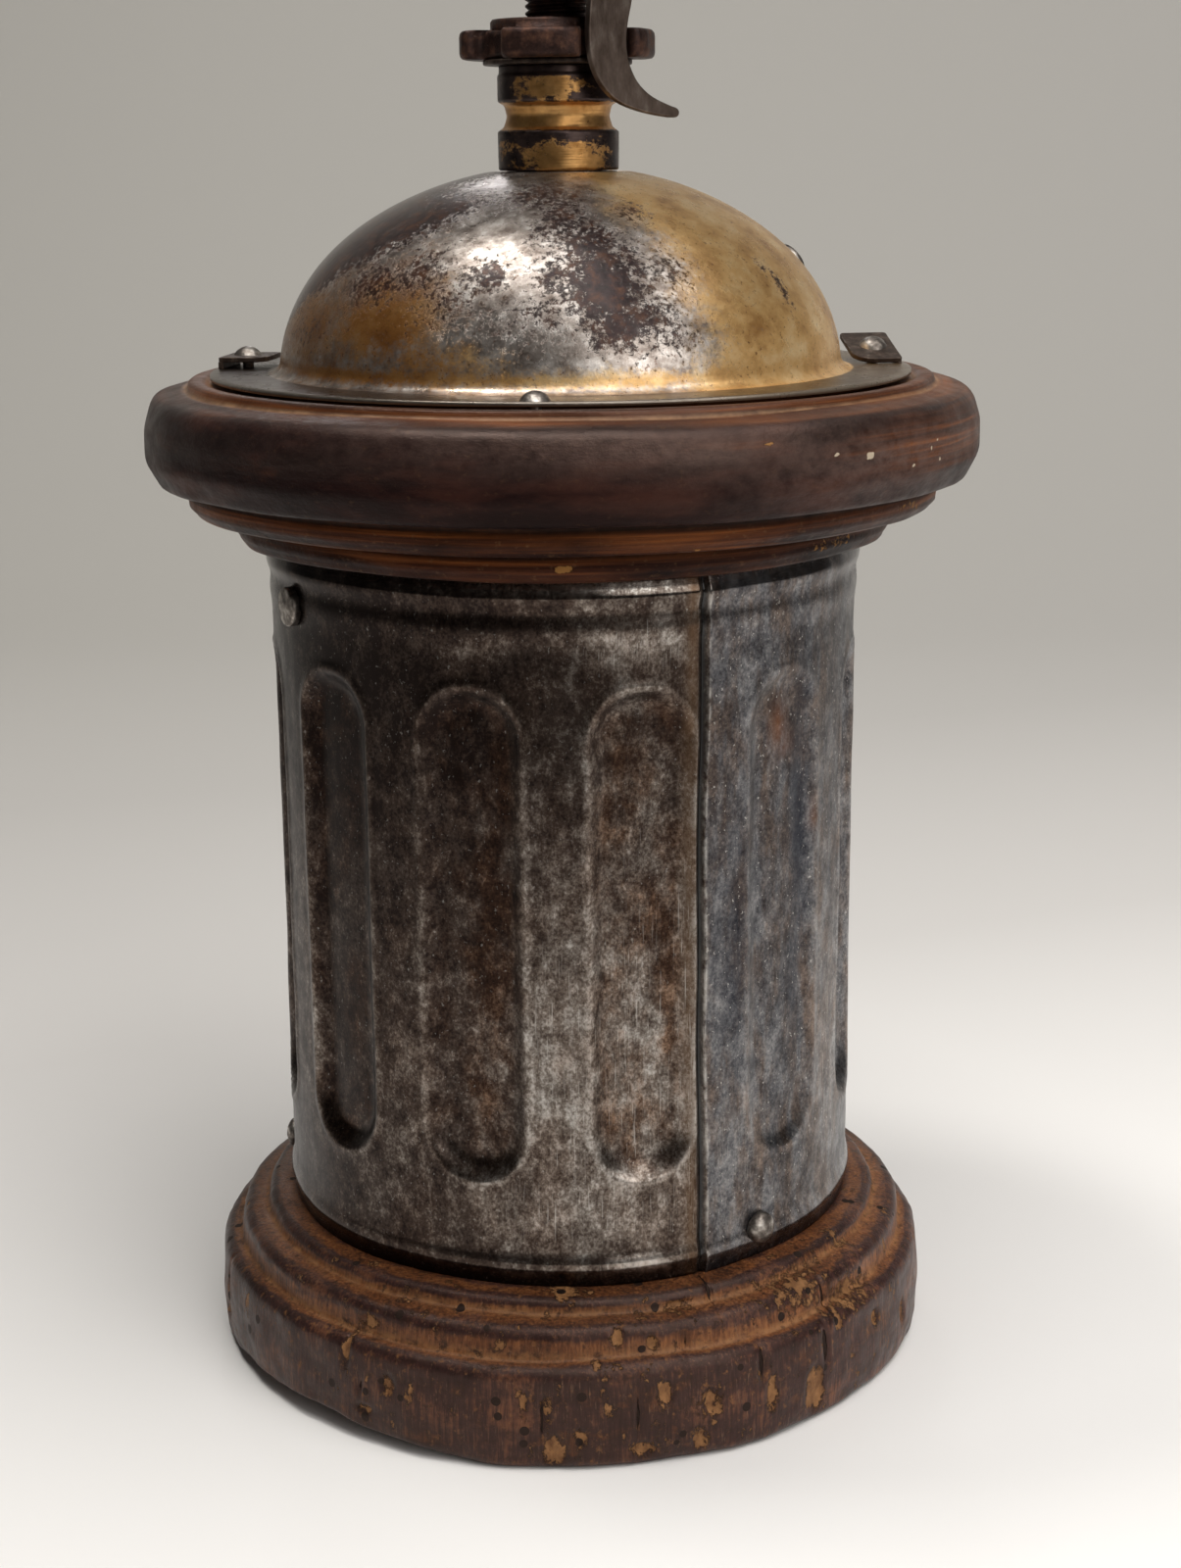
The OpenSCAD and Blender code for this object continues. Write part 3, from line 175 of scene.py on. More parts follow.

# Matt paper: near white at the front, with painted shade that makes it warm grey at the back and on the left.
pale, tree, shader = new_material("matt_paper")
where = add(tree, "TexCoord", out="Object")
depth = add(tree, "SeparateXYZ", where, out="Y")
depth = add(tree, "MapRange", depth, -0.25, 0.9, interpolation_type="SMOOTHSTEP")
shade = add(
    tree, "Math MULTIPLY_ADD", add(tree, "SeparateXYZ", where, out="X"), -0.5, depth,
    stops=((0.05, "#f8f6f4"), (0.3, "#d3d0cd"), (0.6, "#c1beba"), (1, "#bbb8b2")))
feed(tree, shader, {"Base Color": shade, "Roughness": 0.85, "Specular IOR Level": 0.2})
paper.data.materials.append(pale)
paper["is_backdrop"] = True


# Plain soft studio light: a wide box above on the right, a window box on the right in front, and two
# small boxes that give the dome its two highlights.
def area_light(name, place, aim, size, power, colour):
    """A square area light at a place that faces a point."""
    lamp = bpy.data.lights.new(name, "AREA")
    lamp.size = size
    lamp.energy = power
    lamp.color = linear(colour)[:3]
    made = bpy.data.objects.new(name, lamp)
    made.location = place
    way = np.array(aim) - np.array(place)
    made.rotation_euler = Vector(way.tolist()).to_track_quat("-Z", "Y").to_euler()
    bpy.context.scene.collection.objects.link(made)


area_light("ceiling_box", (0.34, -0.35, 1.5), (0.05, -0.05, 0), 1.3, 21, "#fffdfa")
area_light("window_box", (0.85, -1.2, 0.75), (0, 0, 0.1), 1.1, 10, "#fffdfa")
area_light("overhead_box", (-0.3, 0.02, 1.15), (0, 0, 0.12), 0.22, 3.4, "#fffdf8")
area_light("back_box", (-0.13, 1.0, 0.78), (0, 0, 0.15), 0.14, 0.5, "#fafaff")
world = bpy.context.scene.world or bpy.data.worlds.new("studio_room")
bpy.context.scene.world = world
world.use_nodes = True
feed(world.node_tree, world.node_tree.nodes["Background"], {"Color": "#d6d5d3", "Strength": 0.07})


# The turned base: a heavy band with a worn foot and two rolled steps above it, dark stain over
# brown wood that shows in chips, cracks and worm holes. A spigot reaches up inside the tin.
mm = 0.001


def rounded(corners, steps=6):
    """The line through corners of radius and height, each with an arc of the given radius."""
    line = []
    spots = np.array([c[:2] for c in corners], float)
    for k, (_, _, arc) in enumerate(corners):
        here = spots[k]
        if arc <= 0 or k in (0, len(corners) - 1):
            line.append(here)
            continue
        before, after = spots[k - 1] - here, spots[k + 1] - here
        before, after = before / np.linalg.norm(before), after / np.linalg.norm(after)
        half = math.acos(float(np.clip(before @ after, -1, 1))) / 2
        reach = arc / math.tan(half)
        middle = here + (before + after) / np.linalg.norm(before + after) * arc / math.sin(half)
        start, end = here + before * reach - middle, here + after * reach - middle
        for t in np.linspace(0, 1, steps):
            way = start * (1 - t) + end * t
            line.append(middle + way / np.linalg.norm(way) * arc)
    return np.array(line)


def even(line, step):
    """The same line with a point about every step, and its own points at the ends."""
    run = np.concatenate([[0], np.cumsum(np.linalg.norm(np.diff(line, axis=0), axis=1))])
    at = np.linspace(0, run[-1], max(2, int(run[-1] / step)))
    return np.stack([np.interp(at, run, line[:, 0]), np.interp(at, run, line[:, 1])], -1)


def waves(points, size, seed, count=24, spread=7):
    """A smooth random field from -1 to 1: a count of plane sine waves about one size long, with ways
    and phases from a seeded table, added up and divided by their usual spread."""
    table = np.random.default_rng(seed)
    ways = table.normal(size=(count, 3))
    length = np.linalg.norm(ways, axis=1, keepdims=True)
    ways *= 2 * math.pi / size * table.uniform(0.7, 1.4, (count, 1)) / length
    level = sum(np.sin(points @ w + p) for w, p in zip(ways, table.uniform(0, 2 * math.pi, count)))
    return np.clip(level / spread, -1, 1)


def ring(count):
    """A count of even angles right round, in degrees."""
    return np.linspace(-180, 180, count, endpoint=False)


def unit(value):
    """A value held between 0 and 1."""
    return np.clip(value, 0, 1)


def bell(value, middle, wide):
    """A soft bump from 0 to 1 round a middle value."""
    return np.exp(-((value - middle) / wide) ** 2)


def around(angle, r, z):
    """Points at an angle from -Y towards +X, a radius and a height in millimetres, in metres."""
    a = np.radians(angle)
    return np.stack(np.broadcast_arrays(r * np.sin(a), -r * np.cos(a), z), -1) * mm


def turned(angles, line):
    """Points of a line of radius and height turned to each of the angles."""
    return around(angles[:, None], line[None, :, 0], line[None, :, 1])


def push(points, out):
    """Points moved out from the mill's axis by a distance for each, in metres."""
    way = points * np.array([1, 1, 0])
    length = np.maximum(np.linalg.norm(way, axis=-1, keepdims=True), 1e-9)
    return points + way / length * out[..., None]


def bends(line, reach):
    """How far each point of an even line stands out from the mean of the points within a reach on
    both sides, in millimetres: above 0 on a rounded edge and below 0 in a hollow."""
    step = np.linalg.norm(line[1] - line[0])
    count = max(1, int(reach / step))
    wide = np.concatenate([np.repeat(line[:1], count, 0), line, np.repeat(line[-1:], count, 0)])
    even_share = np.ones(2 * count + 1) / (2 * count + 1)
    mean = np.stack([np.convolve(wide[:, k], even_share, "valid") for k in (0, 1)], -1)
    along = np.gradient(line, axis=0)
    length = np.maximum(np.linalg.norm(along, axis=1), 1e-9)
    normal = np.stack([along[:, 1], -along[:, 0]], -1) / length[:, None]
    return ((line - mean) * normal).sum(1)


spigot_r, spigot_top = 47.3, 37
base_side = even(
    rounded([
        (60.2, 0.15, 0), (61.2, 0.9, 1.4), (61.5, 8, 20), (60.9, 16.3, 2.4), (58.7, 17.1, 0.8),
        (58.0, 17.0, 0.5), (57.4, 21.6, 2.2), (54.0, 22.3, 0.8), (53.3, 22.1, 0.5), (52.8, 24.5, 1.6),
        (48.6, 24.9, 0.5), (spigot_r, 24.6, 0)]), 0.5)
base_line = np.concatenate([
    [[0, 0], [30, 0], [56, 0]], base_side,
    [[spigot_r, 30], [spigot_r, 36.6], [46.9, spigot_top], [25, spigot_top], [0, spigot_top]]])
points_hidden = (3, 5)
base_shown = np.pad(np.ones(len(base_side)), points_hidden)
base_bend = np.pad(bends(base_side, 1.6), points_hidden)
base_angles = ring(720)
base_points = turned(base_angles, base_line)
base_z = base_line[:, 1]


def blots(angle, height, *spots):
    """The largest of soft round spots, each an angle, a height, a half width in degrees, a half
    height in millimetres and a strength."""
    return np.max([
        strong * np.exp(-((((angle - a0 + 180) % 360 - 180) / wide) ** 2 + ((height - z0) / tall) ** 2))
        for a0, z0, wide, tall, strong in spots], axis=0)


angle, height = np.meshgrid(base_angles, base_z, indexing="ij")
chipped = blots(
    angle, height, (13.6, 12, 1.7, 2.2, 1), (20.7, 9.3, 2.0, 2.8, 1), (31, 8.2, 1.3, 3.4, 1),
    (39.6, 6, 2.4, 5, 1.1), (10.2, 3, 2.4, 1.5, 1), (18.9, 3.6, 1.6, 2.2, 0.9), (-2.5, 3.6, 2.2, 3, 1.1),
    (0.9, 5.8, 1.3, 2, 0.9), (46, 15.4, 1.6, 1.6, 0.9), (55.5, 12, 1.3, 1.8, 0.9), (-28.5, 11.5, 1.5, 2, 1),
    (-36.4, 14.4, 1.1, 4, 0.85), (-7.3, 11.1, 0.9, 4, 0.8), (-3.9, 10.4, 0.9, 4, 0.8),
    (-32.7, 5.9, 2.4, 1.2, 0.8), (7, 20.3, 1.0, 2, 1), (12.4, 18.9, 1.2, 1.8, 0.9),
    (18.5, 22.8, 4, 0.9, 0.85), (-34, 19, 3, 1.6, 0.8), (40, 21, 9, 3, 0.75), (50, 17.5, 8, 3, 0.75),
    (-1, 24.8, 4, 0.6, 0.8), (3.5, 16.6, 1.0, 1.0, 0.8), (66, 8, 1.6, 3, 0.9), (82, 5, 3, 2, 0.9),
    (103, 12, 2, 4, 1), (128, 7, 2, 3, 0.9), (150, 13, 3, 2, 0.9), (171, 4, 3, 2, 1), (195, 10, 1.5, 4, 0.9),
    (222, 15, 3, 1.5, 0.9), (240, 5, 2, 3, 1), (262, 11, 1.6, 3, 0.9), (285, 6, 2.4, 2, 0.9),
    (140, 20, 8, 2.5, 0.75), (210, 21, 9, 2.5, 0.75), (270, 19, 8, 2.5, 0.7))
crack = base_shown * blots(
    angle, height, (29.4, 13.5, 0.5, 3.2, 1), (42.2, 12.5, 0.6, 4.2, 1), (24.4, 23.6, 0.45, 1.8, 1),
    (9.6, 9, 0.4, 6, 0.75), (-4.6, 9, 0.4, 4, 0.9), (45, 19, 0.45, 3.4, 0.9), (-33.6, 9.5, 0.5, 1.6, 0.8),
    (17.8, 18.6, 0.4, 2.4, 0.8), (104, 12, 0.5, 5, 1), (151, 9, 0.5, 6, 1), (196, 10, 0.5, 5, 1),
    (241, 8, 0.5, 5, 1), (287, 12, 0.5, 4, 1))
foot = unit(1 - base_z / 4) * base_shown
base_out = base_shown * (
    0.3 * waves(base_points, 0.04, 3) + 0.16 * waves(base_points, 0.012, 4)
    + 0.05 * waves(base_points, 0.004, 7))
base_out -= 0.9 * foot * unit(waves(base_points, 0.018, 5) + 0.1)
base_out -= 0.5 * unit(3 * chipped - 1.2) * base_shown + 0.7 * crack
base_points = push(base_points, (base_out - 0.4) * mm * base_shown)
warp = base_shown * (base_z > 14) * 0.35 * waves(base_points, 0.03, 8) * mm
base_points[..., 2] += warp * unit((25.5 - base_z) / 2)
worn_foot = np.exp(-((base_angles + 48) / 27) ** 4)[:, None] * (2.3 + 0.8 * waves(base_points, 0.02, 13))
base_points[..., 2] += foot * np.clip(worn_foot, 0, 3.0) * mm
# The pale mask makes the right side of the base lighter in colour: painted light from the right.
base = grid_piece(
    "turned_base", base_points, band=unit((17 - base_z) / 1.5) * base_shown, crack=crack, chipped=chipped,
    edge=unit(base_bend / 0.3), cove=unit(-base_bend / 0.2),
    pale=(unit((base_angles - 5) / 45) * unit((140 - base_angles) / 40))[:, None])


def total(tree, *parts, stops=()):
    """The sum of parts, each a value and its weight, sent through a ramp where stops are given."""
    level = 0.0
    for value, weight in parts:
        level = add(tree, "Math MULTIPLY_ADD", value, weight, level)
    return add(tree, "ValToRGB", level, stops=stops) if stops else level


def coats(tree, colour, *layers):
    """A colour under layers that lie one over the other, each a share, a strength and a tint."""
    for share, strength, tint in layers:
        colour = add(tree, "Mix", add(tree, "Math MULTIPLY", share, strength), colour, tint)
    return colour


# Walnut-brown wood under a dark purple stain. The stain is left on the band and the rolls' edges,
# amber wood shows on the steps, pale dust lies in their corners, and chips and cracks show tan wood.
# Each chip has a dark outline of painted shade, and the right side is painted lighter, painted light.
base_wood, tree, shader = new_material("stained_wood_base")
broad = add(tree, "TexNoise", size=(11, 11, 7), shift=3, fine=(5, 0.6))
hair = add(tree, "TexNoise", size=(0.5, 0.5, 6), fine=(4, 0.6))
patches = add(tree, "TexNoise", size=(2.4, 2.4, 2), shift=5, fine=(6, 0.7))
amber = total(
    tree, (broad, 0.5), (hair, 0.5), stops=((0.38, "#331c10"), (0.5, "#5c361e"), (0.62, "#825431")))
stain = total(
    tree, (broad, 0.6), (hair, 0.4), stops=((0.38, "#150c0d"), (0.52, "#2c1b1a"), (0.64, "#5c3a29")))
thick = total(
    tree, (broad, 1), ("band", 0.26), ("edge", 0.36), (patches, 0.3), stops=((0.7, 0.05), (0.84, 0.97)))
dust = add(tree, "TexNoise", size=(3, 3, 1.5), shift=5, fine=(6, 0.7), stops=((0.4, 0.1), (0.6, 0.9)))
dust = add(tree, "Math MULTIPLY", "cove", dust)
scuff = add(tree, "TexNoise", size=(1.2, 1.2, 1.6), shift=9, fine=(7, 0.65), stops=((0.58, 0), (0.7, 1)))
rubs = add(tree, "TexNoise", size=(0.35, 0.35, 4), shift=14, fine=(4, 0.65), stops=((0.6, 0), (0.72, 1)))
grime = add(tree, "TexNoise", size=(1.6, 1.6, 1.2), shift=12, fine=(7, 0.65), stops=((0.54, 0), (0.66, 1)))
colour = coats(
    tree, add(tree, "Mix", thick, amber, stain), (dust, 0.75, "#86603f"), (scuff, 0.6, "#7d5430"),
    (rubs, 0.4, "#8a6a52"), (grime, 0.7, "#20130d"))
# Painted light: the colour is raised by half on the right side.
colour = add(tree, "Mix ADD", add(tree, "Math MULTIPLY", "pale", 0.5), colour, colour)
ragged = add(tree, "TexNoise", size=(1.8, 1.8, 2.8), shift=7, fine=(8, 0.76))
stray = add(tree, "TexNoise", size=(3.4, 3.4, 5), shift=2, fine=(6, 0.66))
flake = total(tree, (ragged, 0.9), ("chipped", 0.28))
flake = add(tree, "Math MAXIMUM", flake, add(tree, "Math MULTIPLY", stray, 0.96))
chip = add(tree, "ValToRGB", flake, stops=((0.61, 0), (0.635, 1)))
# Painted shade: a dark outline round each chip stands for the shade at its broken edge.
lip = add(tree, "ValToRGB", flake, stops=((0.565, 0), (0.6, 0.7)))
tan = add(tree, "TexNoise", size=(1.4, 1.4, 2.4), fine=(5, 0.65), stops=((0.3, "#55361f"), (0.7, "#966c45")))
hole_cell, hole_r, hole_share = 5, 0.8, 0.8
inside = add(
    tree, "Math LESS_THAN", add(tree, "TexVoronoi", out="Distance", size=hole_cell), hole_r / hole_cell)
chance = add(tree, "SeparateColor", add(tree, "TexVoronoi", out="Color", size=hole_cell))
holes = add(tree, "Math MULTIPLY", inside, add(tree, "Math LESS_THAN", chance, hole_share))
split = total(tree, (ragged, 0.5), ("crack", 0.5), stops=((0.52, 0), (0.58, 1)))
dark = add(tree, "Math MAXIMUM", holes, split)
matt = chip
for share in (scuff, dust, dark):
    matt = add(tree, "Math MAXIMUM", matt, share)
gloss = add(tree, "TexNoise", size=(7, 7, 3), fine=(5, 0.6), stops=((0.3, 0.32), (0.7, 0.52)))
pores = add(tree, "TexNoise", size=1.6, shift=4, fine=(6, 0.65))
height = total(tree, (pores, 0.25), (hair, 0.12), (chip, -0.6), (dark, -1.4))
feed(tree, shader, {
    "Base Color": coats(tree, colour, (lip, 1, "#1a0f0b"), (chip, 1, tan), (dark, 1, "#120a07")),
    "Roughness": add(tree, "Mix", matt, gloss, "#d0d0d0"),
    "Normal": add(tree, "Bump", Height=height, Distance=0.4 * mm), "Specular Tint": "#e6c4b4"})
base.data.materials.append(base_wood)
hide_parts("base_plinth")
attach(base, "housing")


# The tin body: a tube of thin sheet with pressed flutes, a stiffening rib at each end, a lap seam
# right of the middle and the drawer's window behind. Dark with age, and light on its edges from wear
# and painted highlight.
body_r, body_low, body_high, tin = 48.0, 24.6, 137.6, 0.6
window_half, window_low, window_high = math.degrees(math.asin(19.5 / body_r)), 37, 63.8
seam_az, groove_az = 25.97, 25.2
flute_mid, flute_half, flute_r, rib_top, rib_foot = 81.4, 31.2, 8, 134.8, 28.2
seam_steps = [23.6, 24.2, 24.7, 25.1, 25.4, 25.7, 25.95, 26.0, 26.25, 26.6]
flute_az = -1.9 + 31.6 * (np.arange(10) - 4.5)
flute_edge = np.concatenate([np.linspace(-13.5, -6.5, 14), [-5, -3, -1, 1, 3, 5], np.linspace(6.5, 13.5, 14)])
body_angles = np.concatenate([
    (flute_az[:, None] + flute_edge).reshape(-1), np.arange(156, 205, 2.5), seam_steps,
    [180 - window_half, 180 + window_half]])
body_angles = np.sort((np.unique(np.round(body_angles % 360, 3)) + 180) % 360 - 180)
body_heights = np.unique(np.concatenate([
    np.linspace(body_low, 41, 24), np.linspace(41, 52.5, 19), np.linspace(52.5, 110.5, 24),
    np.linspace(110.5, 122.5, 20), np.linspace(122.5, body_high, 22), [window_low, window_high]]))
angle, height = np.meshgrid(body_angles, body_heights, indexing="ij")
across = np.abs((angle[..., None] - flute_az + 180) % 360 - 180).min(-1) * math.pi / 180 * body_r
along = np.maximum(np.abs(height - flute_mid) - flute_half, 0)
edge = np.hypot(across, along) - flute_r
press = unit((0.6 - edge) / 3.4)
press = press * press * (3 - 2 * press)
rim = bell(edge, 0.5, 0.75)
rib_high = bell(height, rib_top, 1.7) + 0.4 * bell(height, 130, 2.2)
rib_low = bell(height, rib_foot, 1.7)
lap = unit(1 - (angle - seam_az) / 9) * (angle > seam_az)
groove = np.abs(angle - groove_az) / 0.5
wander = 0.3 * np.sin(height / 17) + 0.18 * np.sin(height / 6.1 + 1)
body_points = around(angle + wander * bell(angle, 26, 2.5), body_r, height)
soft_flute = 1 - 0.45 * np.exp(-((angle - 45.5) / 14) ** 4)
body_out = (-2.0 * press + 0.25 * rim) * soft_flute + 0.8 * rib_high + 0.66 * rib_low
body_out = body_out + 0.5 * lap - 0.5 * unit(1.4 - groove)
body_out += 0.2 * waves(body_points, 0.04, 11) + 0.06 * waves(body_points, 0.014, 12)
body_points = push(body_points, body_out * mm)
mid_angle = (body_angles + np.append(body_angles[1:], body_angles[0] + 360)) / 2
mid_height = (body_heights[1:] + body_heights[:-1]) / 2
open_here = (np.abs((mid_angle + 360) % 360 - 180) < window_half)[:, None]
open_here = open_here & (mid_height > window_low) & (mid_height < window_high)
# Spots where the film is rubbed thin and silvery. Three are painted highlights instead: the line along the
# top bead, the spot by the top rib and the band on the foot rib.
wear = blots(
    angle, height, (-2, 60, 6, 26, 1.0), (-33, 56, 6, 24, 0.75), (-64, 66, 6, 34, 0.7), (0, 38, 30, 7, 0.75),
    (-34, 37, 18, 7, 0.5), (-18, 126, 6, 2.5, 1.0), (12, 127, 9, 4, 1.1), (-16, 60, 7, 18, 0.5),
    (13, 62, 10, 26, 0.75), (13, 100, 7, 14, 0.35), (22.5, 64, 2.4, 34, 0.9), (-48, 70, 8, 20, 0.2),
    (62, 56, 8, 34, 0.7), (34, 46, 8, 18, 0.5), (100, 60, 14, 30, 0.7), (150, 84, 14, 26, 0.7),
    (-105, 62, 14, 30, 0.8), (-150, 84, 16, 26, 0.8), (13, 28.4, 7, 1.3, 1.4), (-4, 136, 30, 0.9, 0.9))
# Painted shade: these two lines darken the film on the left side and at the upper left, where less light
# falls.
wear -= 0.55 * unit((4 - angle) / 40) * unit((angle + 130) / 40)
wear -= 0.3 * unit((height - 96) / 24) * np.clip((16 - angle) / 36, 0.1, 1)
body = grid_piece(
    "tin_body", body_points, keep=~open_here, press=press * soft_flute, rim=rim * soft_flute,
    ribs=np.maximum(rib_high, rib_low), wear=wear, lap=bell(angle, 26.2, 0.3), shade=unit(1.6 - groove),
    panel=unit((angle - seam_az) / 0.2) * unit((150 - angle) / 40), strip=bell(angle, 23.2, 1.2),
    streak=blots(angle, height, (51, 96, 2.6, 22, 1.0), (50, 70, 2.4, 14, 0.7), (33, 78, 4, 26, 0.5)),
    trace=blots(angle, height, (44.5, 112, 2.0, 3.4, 1.0), (47, 109, 1.5, 2.0, 0.8), (55, 96, 1.2, 2.0, 0.6)),
    low=unit((27.2 - height) / 1.4))


def thicken(piece, thick):
    """Makes a sheet of a piece's skin by a thickness inwards in millimetres."""
    sheet = piece.modifiers.new("sheet", "SOLIDIFY")
    sheet.thickness = thick * mm
    sheet.offset = -1


thicken(body, tin)

# Tin plate under a brown-black age film of fine grains. The film gets thin and silvery where the
# tin is rubbed, on the flutes' rims and low between them, and is blue-grey right of the seam.
# Painted light is laid in too: highlights on the ribs, rims and top bead, shade on the left and upper
# left, and a shadow line beside the lap seam.
tin_plate, tree, shader = new_material("aged_tin_plate")
grain = add(tree, "TexNoise", size=(0.5, 0.5, 0.6), shift=2, fine=(5, 0.7))
cloud = add(tree, "TexNoise", size=(3, 3, 4), shift=1, fine=(7, 0.76))
# The flutes' rims and the ribs are lifted a little here: the rims partly rubbed and partly painted highlight,
# the ribs painted highlight.
level = total(
    tree, (cloud, 0.68), (grain, 0.45), ("wear", 0.15), ("rim", 0.1), ("ribs", 0.02), ("low", -0.12))
film = add(
    tree, "ValToRGB", level,
    stops=((0.43, "#1f1714"), (0.56, "#423832"), (0.66, "#6e665f"), (0.76, "#a5a09a"), (0.9, "#c9c5c0")))
brown = add(
    tree, "TexNoise", size=(7, 7, 12), shift=6, fine=(6, 0.65), stops=((0.4, "#ffffff"), (0.6, "#c29c80")))
film = add(tree, "Mix MULTIPLY", add(tree, "Math MULTIPLY_ADD", "press", 0.5, 0.4), film, brown)
slate = add(
    tree, "ValToRGB", level,
    stops=((0.43, "#2e2d31"), (0.56, "#5a5a5d"), (0.66, "#7c7b7c"), (0.84, "#aeacab")))
brown = add(
    tree, "TexNoise", size=(4, 4, 14), shift=8, fine=(6, 0.65), stops=((0.42, "#ffffff"), (0.6, "#c8a890")))
slate = add(tree, "Mix MULTIPLY", 0.8, slate, brown)
scratch = add(tree, "TexNoise", size=(0.2, 0.2, 8), fine=(3, 0.65), stops=((0.6, 0), (0.7, 1)))
rubbed = add(tree, "ValToRGB", "wear", stops=((0.2, 0), (0.6, 0.6)))
flecks = add(tree, "TexNoise", size=(0.6, 0.6, 0.8), shift=6, fine=(3, 0.65), stops=((0.65, 0), (0.7, 1)))
lap_worn = add(tree, "TexNoise", size=(2, 2, 2.4), shift=3, fine=(5, 0.65), stops=((0.42, 0), (0.62, 0.7)))
flecks_here = add(tree, "Math MULTIPLY_ADD", "panel", 0.5, 0.25)
bright = add(tree, "Math MULTIPLY", scratch, rubbed)
for share, here in ((flecks, flecks_here), (lap_worn, "lap")):
    bright = add(tree, "Math MAXIMUM", bright, add(tree, "Math MULTIPLY", share, here))
# Painted shadow: a near-black line beside the lap seam, the shadow under the lapped edge, with its metal
# taken away.
seam_shadow = add(tree, "Math MULTIPLY", "shade", 0.97)
dull = add(tree, "ValToRGB", cloud, stops=((0.35, 0.38), (0.65, 0.27)))
feed(tree, shader, {
    "Base Color": coats(
        tree, film, ("panel", 0.95, slate), ("streak", 0.75, "#1c222e"), ("trace", 0.6, "#7a4a26"),
        ("strip", 0.6, "#5c4632"), (bright, 1, "#c4c0ba"), (seam_shadow, 1, "#050303")),
    "Metallic": add(tree, "Math MULTIPLY_ADD", seam_shadow, -0.9, 0.9),
    "Roughness": coats(tree, dull, ("ribs", 0.8, "#5a5a5a")),
    "Normal": add(tree, "Bump", Height=level, Distance=0.025 * mm)})
body.data.materials.append(tin_plate)
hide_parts("body_shell")
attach(body, "housing")


# Forged nails with round heads that hold the tin to the wood, with bright worn patches. The one at the
# upper left is a wide flat tack. The same dark steel is on the other nails and small screws.
def plain_metal(name, tone, colours, metallic, rough, pits=None, deep=0):
    """A metal whose colours and roughness follow one noise, its tone. Pits are another noise, so deep
    in millimetres."""
    made, tree, shader = new_material(name)
    tone = add(tree, "TexNoise", **tone)
    feed(tree, shader, {
        "Base Color": add(tree, "ValToRGB", tone, stops=colours), "Metallic": metallic,
        "Roughness": add(tree, "ValToRGB", tone, stops=((0.3, rough[0]), (0.7, rough[1])))})
    if pits:
        height = add(tree, "TexNoise", **pits)
        feed(tree, shader, {"Normal": add(tree, "Bump", Height=height, Distance=deep * mm)})
    return made


dark_steel = plain_metal(
    "worn_dark_steel", {"size": 1.6, "fine": (5, 0.6)},
    ((0.3, "#3c3632"), (0.5, "#7a726b"), (0.66, "#b8b2aa")), 0.9, (0.5, 0.3),
    {"size": 0.7, "shift": 4, "fine": (4, 0.6)}, 0.06)


def dress(material, *names):
    """Gives a material to CAD nodes that keep their own shape."""
    for name in names:
        nodes[name].data.materials.clear()
        nodes[name].data.materials.append(material)


dress(
    dark_steel, "flange_nails", "guide_nails", "ring_burr_screws", "bridge_screws", "cone_pin",
    "drawer_knob_nut")


def turn(axis, degrees):
    """A turn about one axis as a matrix."""
    return Matrix.Rotation(math.radians(degrees), 4, axis)


def shift(x, y, z):
    """A move in millimetres as a matrix."""
    return Matrix.Translation((x * mm, y * mm, z * mm))


def lathe(name, count, line, **attributes):
    """A piece turned from a line of radius and height, in a count of steps right round."""
    return grid_piece(name, turned(ring(count), line), **attributes)


head_r, tack_r, under = 2.55, 3.1, -0.6
arch = np.radians(np.linspace(0, 90, 9))
round_head = np.concatenate([
    [[0, under], [head_r, under]], np.stack([head_r * np.cos(arch), 1.5 * np.sin(arch)], -1)])
flat_head = rounded([(0, under, 0), (tack_r, under, 0), (tack_r, 0.7, 0.35), (0, 0.95, 0)])
for k, (az, high, line) in enumerate((
        (-61.6, 129.4, flat_head), (108, 130.6, round_head), (192, 130.6, round_head),
        (39, 29.9, round_head), (142, 29.9, round_head), (265, 29.9, round_head))):
    head = lathe("body_nail_head_%d" % k, 32, line)
    head.data.transform(turn("Z", az) @ shift(0, -body_r - 0.75, high) @ turn("X", 90))
    head.data.materials.append(dark_steel)
    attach(head, "housing")
    if k == 0:
        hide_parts("body_nails")


# The turned cornice: two rolled steps under a heavy band and a low step on top, stained almost
# black and worn to red-brown on the steps. Inside are the hopper's funnel and the burr's seat.
plug_r, plug_low, burr_r, burr_top, seat_z = 47.35, 123, 27.05, 141.0, 163.38
cornice_side = even(
    rounded([
        (plug_r, 137.5, 0), (52.4, 137.7, 0.5), (53.5, 139.6, 1.8), (53.2, 142.2, 0.5), (59.6, 142.6, 0.6),
        (61.1, 144.4, 1.7), (60.8, 147.0, 0.5), (65.4, 147.5, 1.5), (67.6, 151.4, 3.2), (67.5, 156.4, 6),
        (66.2, 160.9, 3.0), (61.2, 161.9, 0.7), (60.5, 161.7, 0.4), (60.0, 163.2, 0.9), (57.6, 163.2, 0.5),
        (57.0, 162.5, 0.3), (52.7, 162.5, 0)]), 0.5)
cornice_line = np.concatenate([
    [[burr_r, plug_low], [47.0, plug_low], [plug_r, 123.4], [plug_r, 130]], cornice_side,
    [[52.7, seat_z], [48, seat_z], [42.6, seat_z], [36, 155.3], [30, 148], [24.6, 141.3]],
    [[24.5, burr_top], [burr_r, burr_top], [burr_r, 130], [burr_r, plug_low]]])
points_hidden = (4, 10)
outside = np.pad(np.ones(len(cornice_side)), points_hidden)
cornice_bend = np.pad(bends(cornice_side, 1.6), points_hidden)
cornice_angles = ring(460)
cornice_points = turned(cornice_angles, cornice_line)
cornice_r, cornice_z = cornice_line.T
